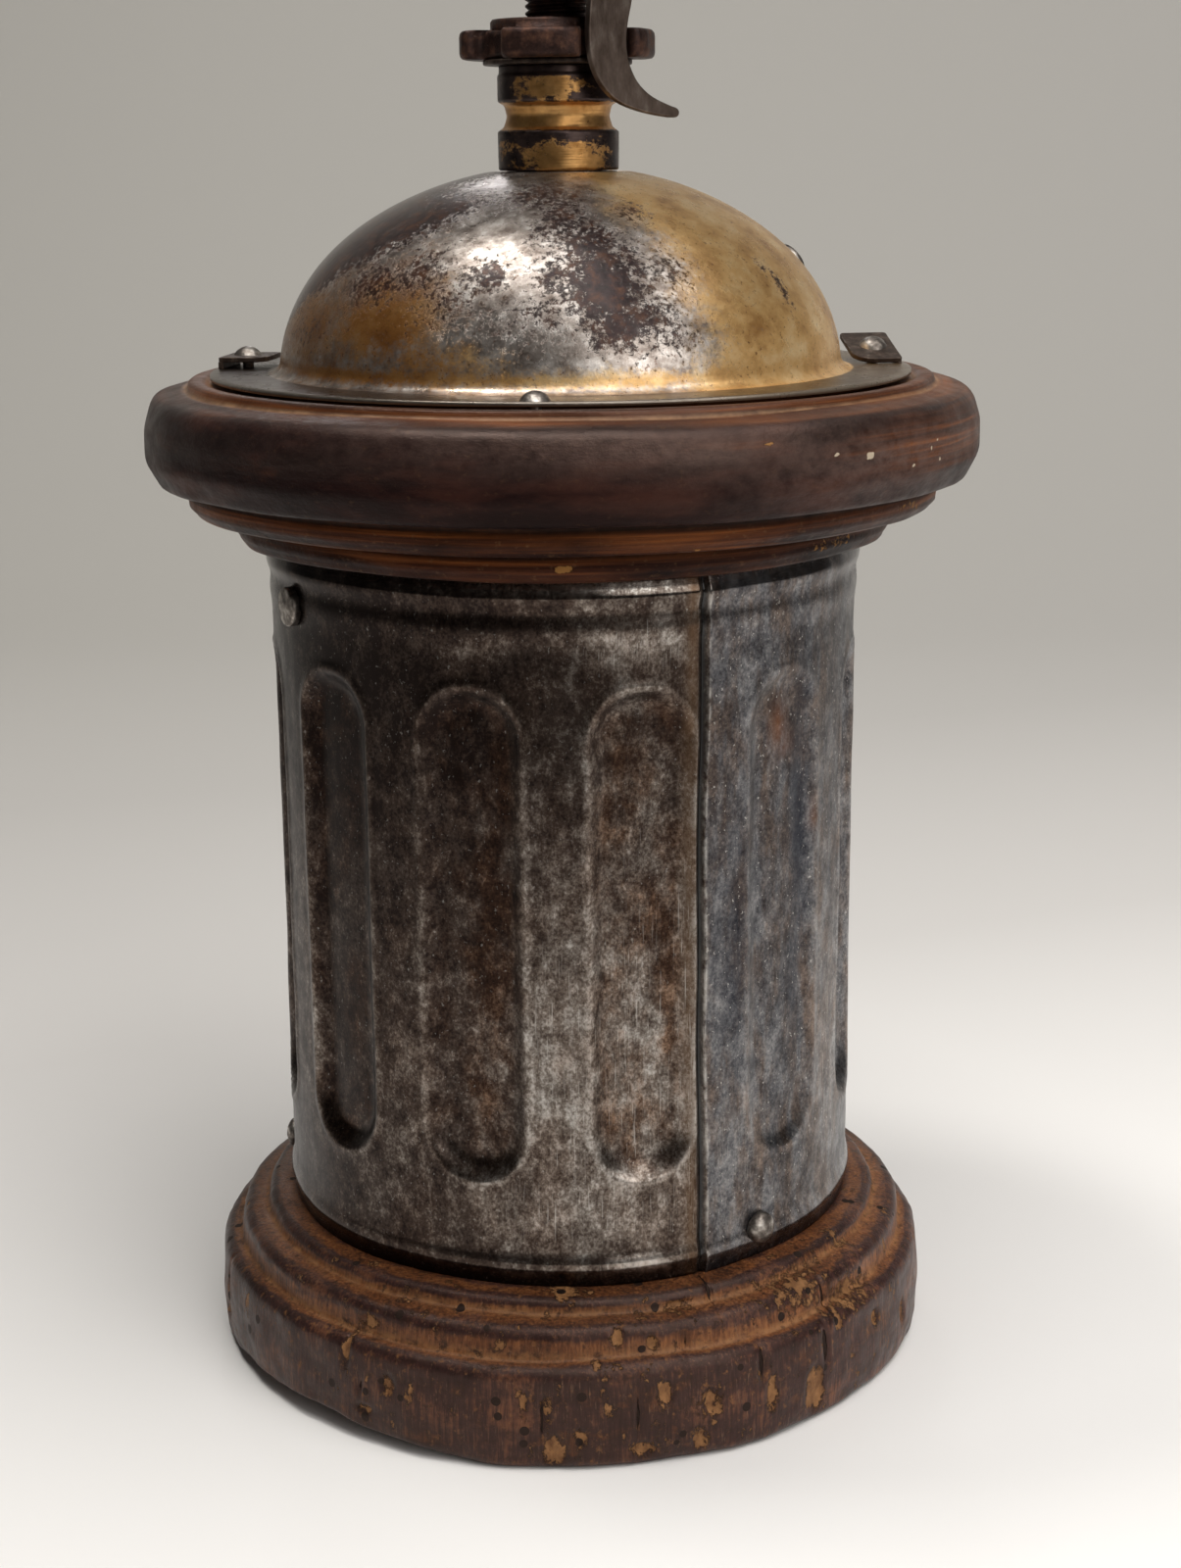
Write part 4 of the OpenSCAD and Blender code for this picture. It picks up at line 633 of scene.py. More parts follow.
shown = outside * unit((cornice_r - 48.2) / 3) * unit((163.4 - cornice_z) / 0.8)
lines = 0.07 * np.sin(cornice_z * 4.2) * unit((147.4 - cornice_z) / 1.5)
cornice_out = shown * (
    0.3 * waves(cornice_points, 0.06, 21) + 0.14 * waves(cornice_points, 0.014, 22) + lines - 0.3)
cornice_points = push(cornice_points, cornice_out * mm)
cornice_points[..., 2] += shown * 0.18 * waves(cornice_points, 0.04, 23) * mm * (cornice_z < 162)
cornice_band = unit((cornice_z - 147) / 1.5) * unit((161.6 - cornice_z) / 1.0) * outside
angle, height = np.meshgrid(cornice_angles, cornice_z, indexing="ij")
hollow = unit(-cornice_bend / 0.2)
cornice = grid_piece(
    "turned_cornice", cornice_points, band=cornice_band, inside=1 - outside,
    cove=hollow * (cornice_z < 155), dust=hollow * (cornice_z > 155),
    handled=unit((cornice_z - 152.5) / 4) * outside,
    line=bell(cornice_z, 141.1, 0.9) + bell(cornice_z, 145.8, 1.0) + unit((cornice_z - 161.5) / 0.3),
    rubbed=blots(
        angle, height, (-42, 153, 13, 3.2, 0.8), (-62, 155, 9, 4, 0.6), (60, 155, 26, 7, 1.4),
        (95, 154, 24, 7, 1.0), (34, 153, 14, 5, 0.6), (20, 158.5, 9, 1.5, 0.5), (140, 153, 20, 4, 0.8),
        (200, 156, 24, 4, 0.7), (265, 152, 20, 4, 0.8)),
    bloom=blots(
        angle, height, (46, 154, 24, 6, 0.75), (8, 158.5, 40, 3, 0.5), (150, 154, 30, 6, 0.5),
        (250, 155, 30, 5, 0.4)),
    pale=blots(
        angle, height, (41.1, 155.3, 0.75, 0.85, 1.0), (35.3, 156, 0.6, 0.4, 0.9), (55, 154.9, 0.4, 0.9, 0.9),
        (57.4, 153.1, 0.5, 0.5, 0.9), (50.1, 153, 0.35, 0.35, 0.9), (56.2, 156, 0.3, 0.4, 0.8),
        (118, 155, 0.6, 0.6, 1.0), (212, 153, 0.5, 0.8, 1.0)),
    chipped=blots(
        angle, height, (25.5, 158.4, 1.0, 0.35, 1.0), (-0.1, 139.9, 2.0, 0.8, 1.0),
        (18.6, 143, 1.0, 0.4, 0.8), (50, 140, 14, 2, 0.6), (62, 145, 14, 2, 0.55), (170, 140, 20, 2, 0.6),
        (-100, 145, 20, 2, 0.6)))

# The same wood under a smooth satin stain, purple-black on the band, with red-brown rubbed patches,
# orange lines along the steps, a grey bloom in the old warm polish, dust round the top ring and
# a few pale specks. The band's upper part is browner, hand wear and a painted warm highlight, and the
# hollows under the steps are near black, painted shade.
cornice_wood, tree, shader = new_material("stained_wood_cornice")
streak = add(tree, "TexNoise", size=(50, 50, 0.9), fine=(5, 0.6))
broad = add(tree, "TexNoise", size=(22, 22, 6), shift=3, fine=(5, 0.6))
red = add(tree, "ValToRGB", streak, stops=((0.35, "#241209"), (0.5, "#4f2a15"), (0.66, "#834b23")))
stain = add(tree, "ValToRGB", broad, stops=((0.35, "#0f0708"), (0.5, "#1b0e0e"), (0.68, "#38201a")))
# Painted light in part: the band's upper part is made browner and lighter, hand wear and a painted warm
# highlight.
bare = total(
    tree, (broad, 0.9), ("band", -0.52), ("rubbed", 0.52), ("line", 0.3), ("handled", 0.2),
    stops=((0.32, 0), (0.72, 0.85)))
dull = add(tree, "TexNoise", size=(3, 3, 2), shift=9, fine=(6, 0.68), stops=((0.36, 0.2), (0.62, 1)))
dusty = add(tree, "TexNoise", size=(4, 4, 2), shift=5, fine=(6, 0.68), stops=((0.38, 0.25), (0.62, 0.9)))
dusty = add(tree, "Math MULTIPLY", "dust", dusty)
grit = add(tree, "TexNoise", size=(1.2, 1.2, 0.9), shift=5, fine=(7, 0.65), stops=((0.58, 0), (0.72, 1)))
grit = add(tree, "Math MULTIPLY", grit, add(tree, "Math MULTIPLY_ADD", "band", -0.35, 0.5))
specks = add(tree, "TexNoise", size=0.8, shift=8, fine=(4, 0.6))
specks = total(tree, ("pale", 1), (specks, 0.6), stops=((0.78, 0), (0.88, 1)))
chip = add(tree, "TexNoise", size=(1.2, 1.2, 0.9), shift=2, fine=(6, 0.7))
chip = total(tree, (chip, 0.65), ("chipped", 0.5), stops=((0.61, 0), (0.65, 1)))
# Painted shade: near black in the hollows under the steps, where shade falls.
cove_shade = add(tree, "TexNoise", size=3, shift=5, fine=(4, 0.6), stops=((0.3, 0.6), (0.7, 1)))
cove_shade = add(tree, "Math MULTIPLY", "cove", cove_shade)
matt = dusty
for share in (grit, chip, cove_shade):
    matt = add(tree, "Math MAXIMUM", matt, share)
gloss = add(tree, "TexNoise", size=(5, 5, 3), shift=6, fine=(6, 0.66), stops=((0.35, 0.34), (0.65, 0.5)))
pores = add(tree, "TexNoise", size=(2.6, 2.6, 1.6), shift=1.5, fine=(6, 0.68))
height = total(tree, (streak, 0.3), (pores, 1.2), (chip, -1))
feed(tree, shader, {
    "Base Color": coats(
        tree, add(tree, "Mix", bare, stain, red), (dull, "bloom", "#5c4841"), (dusty, 1, "#8a6a4e"),
        (grit, 1, "#6d5137"), (specks, 1, "#b9aa94"), (chip, 1, "#8f6638"), (cove_shade, 1, "#0a0605"),
        ("inside", 0.7, "#6a4a32")),
    "Specular IOR Level": add(tree, "Math MULTIPLY_ADD", "handled", 0.44, 0.12), "Specular Tint": "#e6c4b4",
    "Roughness": add(tree, "Mix", matt, gloss, "#c0c0c0"),
    "Normal": add(tree, "Bump", Height=height, Distance=0.14 * mm)})
cornice.data.materials.append(cornice_wood)
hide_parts("cornice_ring")
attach(cornice, "housing")


# The hopper dome: spun tin with a hollow curve into a flat flange, once lacquered gold. The gold is
# left on the right and low on the left, and dark rust and bare tin show in the middle.
dome_r, dome_rise, dome_low, flange_top, flange_r = 45.2, 32.0, 163.787, 164.0, 56.3
flange_count, bend_count, skin_count = 6, 8, 34


def dome_skin(out, rim_r, hole_r):
    """Half section of the dome from a rim on the flange over the hollow curve, an ellipse and a lip
    down to the crown's sunk seat, moved out along its normal, as radius and height."""
    fillet = 2.2
    start = math.asin(fillet / dome_rise)
    t = np.linspace(start, math.acos(12 / dome_r), skin_count)
    normal = np.stack([np.cos(t) / dome_r, np.sin(t) / dome_rise], -1)
    normal /= np.linalg.norm(normal, axis=1, keepdims=True)
    skin = np.stack([dome_r * np.cos(t), dome_low + dome_rise * np.sin(t)], -1)
    middle = skin[0] + fillet * normal[0]
    bend = np.radians(np.linspace(270, 192, bend_count))
    hollow = middle + (fillet - out) * np.stack([np.cos(bend), np.sin(bend)], -1)
    seat = 193.972 + out
    crown = np.array([
        [11.4 - 0.34 * out, 194.752 + 1.07 * out], [10.62 - 0.41 * out, seat], [9.3, seat], [8, seat],
        [hole_r, seat]])
    flange_r_here = np.linspace(rim_r, hollow[0, 0] + 0.6, flange_count)
    flange = np.stack([flange_r_here, np.full(flange_count, flange_top + out)], -1)
    return np.concatenate([flange, hollow, skin + out * normal, crown])


filler_az, filler_low, filler_high, dome_steps = 122, 171.0, 186.5, 336
low_part, high_part = np.split(dome_skin(0, flange_r, 6.95), [flange_count + bend_count])
skin = high_part[:skin_count]
edges = [[np.interp(z, skin[:, 1], skin[:, 0]), z] for z in (filler_low, filler_high)]
high_part = np.concatenate([high_part, edges])
dome_line = np.concatenate([low_part, high_part[np.argsort(-high_part[:, 0], kind="stable")]])
dome_angles = np.sort(np.concatenate([ring(dome_steps), [filler_az, -filler_az]]))
dome_points = turned(dome_angles, dome_line)
r = dome_line[:, 0]
dome_points = push(dome_points, ((r < 47) & (r > 16)) * 0.12 * waves(dome_points, 0.03, 31) * mm)
mid_z = (dome_line[1:, 1] + dome_line[:-1, 1]) / 2
mid_a = (dome_angles + 360 / dome_steps / 2) % 360
filler = ((mid_a > filler_az) & (mid_a < 360 - filler_az))[:, None]
filler = filler & (mid_z > filler_low) & (mid_z < filler_high) & (r[1:] > 10)
a, z = np.meshgrid(dome_angles, dome_line[:, 1], indexing="ij")
right_edge = np.interp(z, [166, 175, 182, 191], [26, 29, 27, 17])
gold = unit(0.5 + (a - right_edge) / 18) * unit(0.5 + (150 - a) / 40)
gold = np.maximum(gold, blots(
    a, z, (-40, 174.5, 20, 7.5, 1.1), (-62, 173, 24, 8, 0.9), (-22, 169, 18, 4, 0.8), (-90, 176, 16, 12, 0.5),
    (170, 178, 40, 14, 0.9), (-120, 176, 30, 14, 0.6)))
gold = np.maximum(gold, 0.85 * bell(z, 166.0, 1.3))
left_rust = unit(0.5 + (z - 178.5 - 0.33 * (a + 61)) / 7) * unit((-8 - a) / 8) * unit((a + 140) / 30)
left_rust *= 1 - blots(a, z, (-30, 193.2, 32, 2.2, 0.9))
dark = np.maximum(left_rust, blots(
    a, z, (9.5, 179, 9, 6, 1.05), (12, 174, 9, 4, 0.85), (7.6, 171.5, 5, 2.5, 0.62), (18, 175, 8, 3.2, 0.65),
    (8, 184.5, 11, 5, 0.8), (2, 188, 12, 5, 0.7), (-5, 191.5, 24, 2.5, 0.7), (22, 189, 9, 2.5, 0.55),
    (24, 181, 7, 4, 0.5), (-3, 175, 8, 4, 0.5), (10, 181, 14, 8, 0.72), (-1, 180, 6, 4, 0.62),
    (-16, 180.3, 6, 2.6, 0.75), (-10, 174, 14, 5, 0.4), (20, 172, 12, 4, 0.42), (-33, 180.4, 10, 5, 0.64),
    (-24, 176.4, 10, 5, 0.56), (-44, 179, 14, 5, 0.66), (-60, 172, 16, 6, 0.42), (55.5, 177.5, 2.2, 3.2, 0.7),
    (53, 181, 1.8, 1.6, 0.65), (210, 186, 40, 6, 0.7)))
bare = blots(
    a, z, (-8, 172, 20, 6, 0.9), (-52, 174, 18, 6, 0.5), (-16, 184, 12, 6, 0.9), (22, 171, 14, 4, 0.8),
    (26, 184, 8, 6, 0.6))
# The low mask makes the dome's lower part lighter, most on the front and right: painted light.
dome = grid_piece(
    "hopper_dome", dome_points, keep=~filler, gold=gold, dark=dark, bare=bare, amber=unit((-8 - a) / 24),
    low=unit((177 - z) / 9) * np.clip((a + 50) / 60, 0.1, 1), flange=(r > 47.0) * 1.0, rim=(r > 55.9) * 1.0)
thicken(dome, tin)

# Old gold-lacquered tin: gold film, bare tin and dark rust, each where the mesh says and broken up by
# noise of a few millimetres down to fine pits. The flange is dark, and its rim is light, rubbed and
# with a painted highlight. The lower front and right are painted lighter, painted light.
gold_tin, tree, shader = new_material("gold_lacquered_tin")
gold_film = add(
    tree, "TexNoise", size=(6, 6, 5), fine=(7, 0.66),
    stops=((0.3, "#8f683b"), (0.5, "#b8935f"), (0.72, "#cdb388")))
tin_film = add(
    tree, "TexNoise", size=(3, 3, 2.6), shift=2, fine=(7, 0.7),
    stops=((0.34, "#5c514a"), (0.5, "#8f867f"), (0.64, "#b8b1ab")))
rust_film = add(
    tree, "TexNoise", size=2, shift=4, fine=(7, 0.7),
    stops=((0.34, "#170f10"), (0.5, "#2c1f20"), (0.66, "#4e3325")))
grains = add(tree, "TexNoise", size=0.9, shift=6, fine=(6, 0.78))
grains = add(tree, "Math MULTIPLY_ADD", grains, 2.8, -1.4)
drift = add(tree, "TexNoise", size=5, shift=1, fine=(6, 0.7))
drift = add(tree, "Math MULTIPLY_ADD", drift, 1.2, -0.6)
film = total(tree, ("gold", 1), ("bare", -0.5), (grains, 0.6), (drift, 1), stops=((0.08, 0), (0.72, 1)))
rusted = add(tree, "Math ADD", "dark", grains, stops=((0.38, 0), (0.64, 0.95)))
pits = add(tree, "TexNoise", size=0.7, shift=3, fine=(5, 0.65), stops=((0.6, 0), (0.68, 1)))
colour = add(tree, "Mix", film, tin_film, add(tree, "Mix MULTIPLY", "amber", gold_film, "#b99f82"))
colour = coats(tree, colour, (rusted, 1, rust_film), (pits, 0.75, "#4a2c1a"))
# Painted light: the colour is raised by half low on the dome, most on the front and right.
colour = add(tree, "Mix ADD", add(tree, "Math MULTIPLY", "low", 0.5), colour, colour)
sheen = add(tree, "Math MULTIPLY_ADD", film, -0.35, 0.85)
dull = add(tree, "TexNoise", size=3, shift=7, fine=(6, 0.62), stops=((0.3, 0.24), (0.7, 0.38)))
height = total(tree, (add(tree, "TexNoise", size=0.9, shift=5, fine=(6, 0.65)), 1), (rusted, -0.5))
feed(tree, shader, {
    # The flange's rim is made light: rubbed tin and a painted highlight along its edge.
    "Base Color": coats(tree, colour, ("flange", 0.88, "#2e231c"), ("rim", 0.4, "#a39a8e")),
    "Metallic": total(tree, (sheen, 1), (add(tree, "Math MULTIPLY", rusted, sheen), -0.7)),
    "Roughness": add(tree, "Mix", rusted, dull, "#727272"),
    "Normal": add(tree, "Bump", Height=height, Distance=0.05 * mm),
    "Specular IOR Level": add(tree, "Math MULTIPLY_ADD", rusted, -0.36, 0.5)})
dome.data.materials.append(gold_tin)
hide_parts("dome_hopper")
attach(dome, "housing")


# The hopper's door: a half shell of the same tin that lies over the back of the dome, turns round
# the neck on its eye, and has a flat rim that runs under the two guides.
r, z = dome_skin(0.85, 48.4, 9.0)[:-2].T
door_half = np.degrees(np.maximum(np.arccos(unit(12.5 / r)), np.arcsin(unit(7 / r))))
a = 180 + np.linspace(-1, 1, 170)[:, None] * door_half
door = grid_piece(
    "hopper_door_leaf", around(a, r, z), wrap=(False, False),
    gold=blots(a, z, (140, 178, 50, 16, 1.0), (220, 172, 40, 12, 0.8)),
    dark=blots(a, z, (240, 186, 34, 7, 0.9), (180, 190, 40, 4, 0.8), (150, 170, 10, 5, 0.6)),
    bare=blots(a, z, (190, 178, 30, 9, 0.9), (110, 188, 14, 5, 0.7)))
thicken(door, 0.5)


def sleeve(inner, outer, low, high, arc_low=0, arc_high=0, arc_in=0, steps=4):
    """The closed section of a short tube, with a round on its lower, upper and inner upper edge."""
    return rounded([
        (inner, low, 0), (outer, low, arc_low), (outer, high, arc_high), (inner, high, arc_in),
        (inner, low, 0)], steps)


door_eye = lathe("hopper_door_eye", 96, sleeve(6.96, 9.3, 194.33, 194.82))
for made in (door, door_eye):
    made.data.materials.append(gold_tin)
    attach(made, "hopper_door")
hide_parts("hopper_door")
dress(dark_steel, "door_knob")


# Two tin guides nailed to the flange, which hold down the door's rim. The left one lies flat and
# the right one is bent up towards the back. Each has its outer edge turned down.
def plate(name, outline, low, high, place, edge_mm=0.15):
    """A flat plate: a closed outline in millimetres at two heights, with side walls between, a
    small round on its edges, moved to its place by a matrix."""
    count = len(outline)
    spots = np.concatenate([np.column_stack([outline, np.full(count, h)]) for h in (low, high)]) * mm
    k = np.arange(count)
    walls = np.stack([k, np.roll(k, -1), np.roll(k, -1) + count, k + count], -1)
    mesh = bpy.data.meshes.new(name)
    mesh.from_pydata(spots.tolist(), [], [k[::-1].tolist(), (k + count).tolist(), *walls.tolist()])
    mesh.transform(place)
    mesh.shade_smooth()
    made = bpy.data.objects.new(name, mesh)
    bpy.context.scene.collection.objects.link(made)
    soft = made.modifiers.new("edges", "BEVEL")
    soft.width = edge_mm * mm
    soft.segments = 2
    soft.angle_limit = math.radians(40)
    soft.harden_normals = True
    return made


def closed(corners, steps=5):
    """A closed outline with each corner rounded by its own radius."""
    return rounded([corners[-1], *corners, corners[0]], steps)[1:-1]


# Tin gone brown with age and dull, lighter and darker in small patches.
brown_tin = plain_metal(
    "browned_tin", {"size": 1.8, "fine": (6, 0.65)}, ((0.3, "#251d19"), (0.52, "#453830"), (0.7, "#6d5f54")),
    0.7, (0.58, 0.42), {"size": 0.7, "shift": 4, "fine": (4, 0.6)}, 0.05)

guide_out, guide_in, leg_in, leaf_thick = -55.4, -47.5, -54.6, 0.8
for name, way, tilt, foot_z in (("left", -1, 0.0, flange_top + 1.15), ("right", 1, 16.5, flange_top)):
    slope = math.radians(tilt)
    lift = foot_z + 5.75 * math.tan(slope) + leaf_thick / math.cos(slope)
    place = turn("Z", way * 97.5) @ shift(0, 0, lift) @ turn("Y", -way * tilt)
    half = 5.7 / math.cos(slope)
    front, back = -way * half, way * half
    corners = [(front, guide_out, 0.6), (back, guide_out, 0.6), (back, guide_in, 0.8), (front, guide_in, 3.2)]
    guide = plate("door_guide_leaf_" + name, closed(corners[::way]), -leaf_thick, 0, place)
    leg = plate(
        "door_guide_leg_" + name,
        np.array([[-half, guide_out], [half, guide_out], [half, leg_in], [-half, leg_in]]),
        flange_top - foot_z - leaf_thick if tilt == 0 else -1.6, -0.7, place)
    for made in (guide, leg):
        made.data.materials.append(brown_tin)
        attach(made, "housing")
    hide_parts("door_guide_" + name)


# The turned brass neck that carries the spindle: two drums with a bright hollow between them, brown
# with age except where the brass is rubbed.
bore, neck_foot, neck_low, neck_high, neck_steps = 5.06, 187.0, 194.97, 210.97, 128
neck_line = even(
    rounded([
        (bore, neck_foot, 0), (6.85, neck_foot, 0.2), (6.85, neck_low, 0.05), (9.55, neck_low, 0.35),
        (9.6, 200.9, 0.25), (8.6, 201.6, 0.8), (8.1, 203.2, 1.2), (8.5, 204.9, 0.6), (9.3, 205.3, 0.2),
        (9.55, 205.6, 0.2), (9.55, 209.4, 0.2), (9.3, 209.7, 0.15), (9.3, neck_high, 0.2),
        (bore, neck_high, 0.1), (bore, neck_foot, 0)]), 0.3)
r, z = neck_line.T
# The collar mask keeps the neck's top under the washer in dark film: patina, and painted shade under the
# washer.
neck = lathe(
    "brass_neck", neck_steps, neck_line, hollow=unit((9.4 - r) / 0.6) * (z > 200) * (z < 206),
    collar=(z > 209.3) * 1.0, rubbed=blots(
        ring(neck_steps)[:, None], z, (-6, 207.6, 36, 2.1, 1.1), (8, 196.7, 44, 2.6, 1.15),
        (-60, 198, 20, 2, 0.5), (150, 207, 50, 2, 0.9), (210, 197.5, 50, 2, 0.9)))

# Old brass: a dark brown film in patches over rubbed yellow brass.
aged_brass, tree, shader = new_material("aged_brass")
bare_brass = add(tree, "TexNoise", size=2.5, fine=(5, 0.6), stops=((0.3, "#9c6f3c"), (0.7, "#d9a769")))
film = add(tree, "TexNoise", size=3, shift=2, fine=(5, 0.6), stops=((0.3, "#2b2324"), (0.7, "#564742")))
rub = add(tree, "TexNoise", size=(2, 2, 1.4), shift=4, fine=(8, 0.76))
rub = total(
    tree, (rub, 1), ("hollow", 0.6), ("rubbed", 0.33), ("collar", -0.5), stops=((0.62, 0), (0.7, 1)))
lines = add(tree, "TexNoise", size=(6, 6, 0.25), shift=5, fine=(3, 0.5))
feed(tree, shader, {
    "Base Color": add(tree, "Mix", rub, film, bare_brass), "Metallic": 0.9,
    "Roughness": add(tree, "TexNoise", size=1.5, shift=6, fine=(4, 0.6), stops=((0.3, 0.26), (0.7, 0.46))),
    "Normal": add(tree, "Bump", Height=total(tree, (lines, 1), (rub, 0.4)), Distance=0.04 * mm)})
neck.data.materials.append(aged_brass)
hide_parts("neck_bush")
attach(neck, "housing")
dress(aged_brass, "bush_nut", "bridge_bush")


# The thin washer between the neck and the adjusting nut, and the nut itself: a thick forged star
# with four lobes, soft corners and a low boss, brown with rust.
washer = lathe("thrust_washer_disc", 96, sleeve(bore, 11.75, neck_high, 211.77, 0.25, 0.25, 0.1))
washer.data.materials.append(brown_tin)
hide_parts("thrust_washer")
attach(washer, "housing")

crank_az = 34
nut_r, nut_low, nut_high, boss_high = 15.4, 211.83, 216.23, 217.83
lobe = []
for k in range(4):
    facing = math.radians(crank_az + 90 * k)
    way = np.array([math.sin(facing), -math.cos(facing)])
    across_way = np.array([math.cos(facing), math.sin(facing)])
    for s, d, arc in ((-4.45, 14.74, 1.3), (-4.45, 10.8, 1.2), (4.45, 10.8, 1.2), (4.45, 14.74, 1.3)):
        lobe.append((*(s * across_way + d * way), arc))
    for part in (0.25, 0.5, 0.75):
        beside = facing + math.radians(16.8 + 56.4 * part)
        lobe.append((nut_r * math.sin(beside), -nut_r * math.cos(beside), 0))
star = closed(lobe, 6)
star = even(np.concatenate([star, star[:1]]), 0.5)[:-1]
length = np.linalg.norm(star, axis=1, keepdims=True)
round_in = np.array([1.0, 0.45, 0.12, 0, 0, 0.12, 0.45, 1.0])
round_up = np.array([0, 0.1, 0.45, 1.0, 3.4, 3.95, 4.3, 4.4])
star_rings = [(star * (1 - inset / length), nut_low + up) for inset, up in zip(round_in, round_up)]
star_rings += [(star / length * radius, level) for radius, level in (
    (10.5, nut_high), (10.5, boss_high - 0.4), (10.2, boss_high), (bore, boss_high), (bore, nut_low))]
star_points = [np.column_stack([flat, np.full(len(star), level)]) for flat, level in star_rings]
star_nut = grid_piece("adjusting_nut", np.stack(star_points, 1) * mm, wrap=(True, True))

# Forged steel with brown-black rust in dark and orange-brown patches, and painted glints in small specks.
rusty_steel, tree, shader = new_material("rusty_forged_steel")
tone = add(tree, "TexNoise", size=2.2, fine=(6, 0.65))
colour = add(
    tree, "ValToRGB", tone, stops=((0.28, "#1d1413"), (0.5, "#402c26"), (0.66, "#644536"), (0.8, "#856049")))
# Painted highlight: small lighter specks at random stand for glints.
glint = add(tree, "TexNoise", size=0.9, shift=3, fine=(4, 0.65), stops=((0.66, 0), (0.74, 1)))
pits = add(tree, "TexNoise", size=0.8, shift=4, fine=(5, 0.65))
feed(tree, shader, {
    "Base Color": coats(tree, colour, (glint, 0.55, "#8d8278")), "Metallic": 0.7,
    "Roughness": add(tree, "ValToRGB", tone, stops=((0.3, 0.38), (0.7, 0.62))),
    "Normal": add(tree, "Bump", Height=pits, Distance=0.12 * mm)})
star_nut.data.materials.append(rusty_steel)
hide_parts("star_nut")
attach(star_nut, "adjuster")
dress(rusty_steel, "bridge")


# The steel spindle that turns the cone: a plain shaft, a cut screw thread under the adjusting nut, a
# square for the crank's hub and a stud for its nut.
thread_low, shoulder, pitch_mm, thread_deep = 207.43, 223.33, 1.1, 0.6
thread_high, square_half, square_high = shoulder - 0.6, 3.5, 233.0
shaft_z = np.concatenate([
    [92, 92, 118, 118, 119, 150, 180, thread_low], np.arange(thread_low, thread_high, pitch_mm / 8),
    [thread_high, shoulder, shoulder, square_high, square_high, 241.3, 241.5, 241.5]])
shaft_r = np.full(len(shaft_z), 5.0)
shaft_r[:3] = (0, 4, 4)
shaft_r[-6:] = (square_half, square_half, 3.0, 3.0, 2.7, 0)
a, z = np.meshgrid(ring(64), shaft_z, indexing="ij")
cut = (z > thread_low) & (z < thread_high)
saw = np.abs(((z - thread_low) / pitch_mm - a / 360) % 1 - 0.5) * 2
shaft_round = shaft_r - thread_deep * cut * unit(1.25 * saw - 0.25)
off = np.radians((a - crank_az + 45) % 90 - 45)
square = (z > shoulder - 0.1) & (z < square_high + 0.1) & (shaft_r == square_half)
shaft_round = np.where(square, np.minimum(square_half / np.cos(off), 4.6), shaft_round)
spindle = grid_piece("steel_spindle", around(a, shaft_round, z))
spindle.data.materials.append(rusty_steel)
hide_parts("spindle")
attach(spindle, "spindle")


# The catch: a flat steel tongue that hangs from the crank on a pin, lies in a notch of the nut and
# ends in a curved finger tail, so the setting turns with the crank.
def soften(outline, times=2):
    """A closed outline with each corner cut at a quarter of its two sides, a few times over."""
    for _ in range(times):
        after = np.roll(outline, -1, axis=0)
        outline = np.stack([0.75 * outline + 0.25 * after, 0.25 * outline + 0.75 * after], 1).reshape(-1, 2)
    return outline


crank_turn = turn("Z", crank_az)
tongue = soften(np.array([
    (4.1, 222.7), (-3.7, 222.7), (-3.8, 219.5), (-4.2, 215.2), (-3.9, 212.3), (-3.1, 209.8), (-1.4, 207.1),
    (1.5, 204.9), (6.4, 203.5), (11.4, 202.8), (13.0, 202.9), (13.0, 204.2), (11.4, 204.6), (7.8, 205.9),
    (5.2, 207.8), (3.8, 210.0), (3.1, 212.0), (2.9, 214.6), (3.3, 217.3), (4.1, 220.2)]))
catch = plate("catch_tongue", tongue, 0, 1.4, crank_turn @ shift(0, -13.3, 0) @ turn("X", 90), 0.3)
pin_place = crank_turn @ shift(0, -14, 224.233) @ turn("Y", 90)
catch_eye = lathe("catch_eye", 48, sleeve(1.26, 2.3, -4.1, 4.1, 0.2, 0.2, 0.05))
catch_eye.data.transform(pin_place)

# Handled steel: grey-brown and satin from many fingers.
satin_steel = plain_metal(
    "satin_handled_steel", {"size": (2, 2, 4), "fine": (5, 0.6)},
    ((0.3, "#4a3d35"), (0.55, "#6e6057"), (0.75, "#8f8379")), 0.85, (0.5, 0.36),
    {"size": (0.4, 0.4, 2.4), "shift": 3, "fine": (4, 0.6)}, 0.04)
for made in (catch, catch_eye):
    made.data.materials.append(satin_steel)
    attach(made, "catch")
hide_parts("adjuster_catch")


# The crank: a forged arm that rises from its hub to the knob, a hub with a square hole, two ears for
# the catch's pin, and a washer and nut on top.
reach, end_wide, arm_z, arm_rise, arm_half = 112, 10.5, 229.583, 12, 2.75
end_turn = np.radians(np.linspace(6, 90, 15))
arm_at = np.concatenate([np.linspace(0, reach, 57), reach + end_wide / 2 * np.sin(end_turn)])
wide = np.interp(arm_at, [0, reach], [16, end_wide])
wide[57:] = end_wide * np.cos(end_turn)
step = unit((arm_at - 33.6) / 44.8)
arm_mid = arm_z + arm_rise * step * step * (3 - 2 * step)
way = np.radians(np.linspace(0, 360, 40, endpoint=False))
round_x = np.sign(np.sin(way)) * np.abs(np.sin(way)) ** 0.4
round_z = np.sign(np.cos(way)) * np.abs(np.cos(way)) ** 0.4
arm_points = np.broadcast_arrays(
    wide[:, None] / 2 * round_x, -arm_at[:, None], arm_mid[:, None] + arm_half * round_z)
arm = grid_piece("forged_crank_arm", np.stack(arm_points, -1) * mm, wrap=(False, True))
arm.data.transform(crank_turn)
hub = lathe("crank_hub", 96, sleeve(5, 10, shoulder, 233.33, 0.7, 1.0, 0.1, 6))
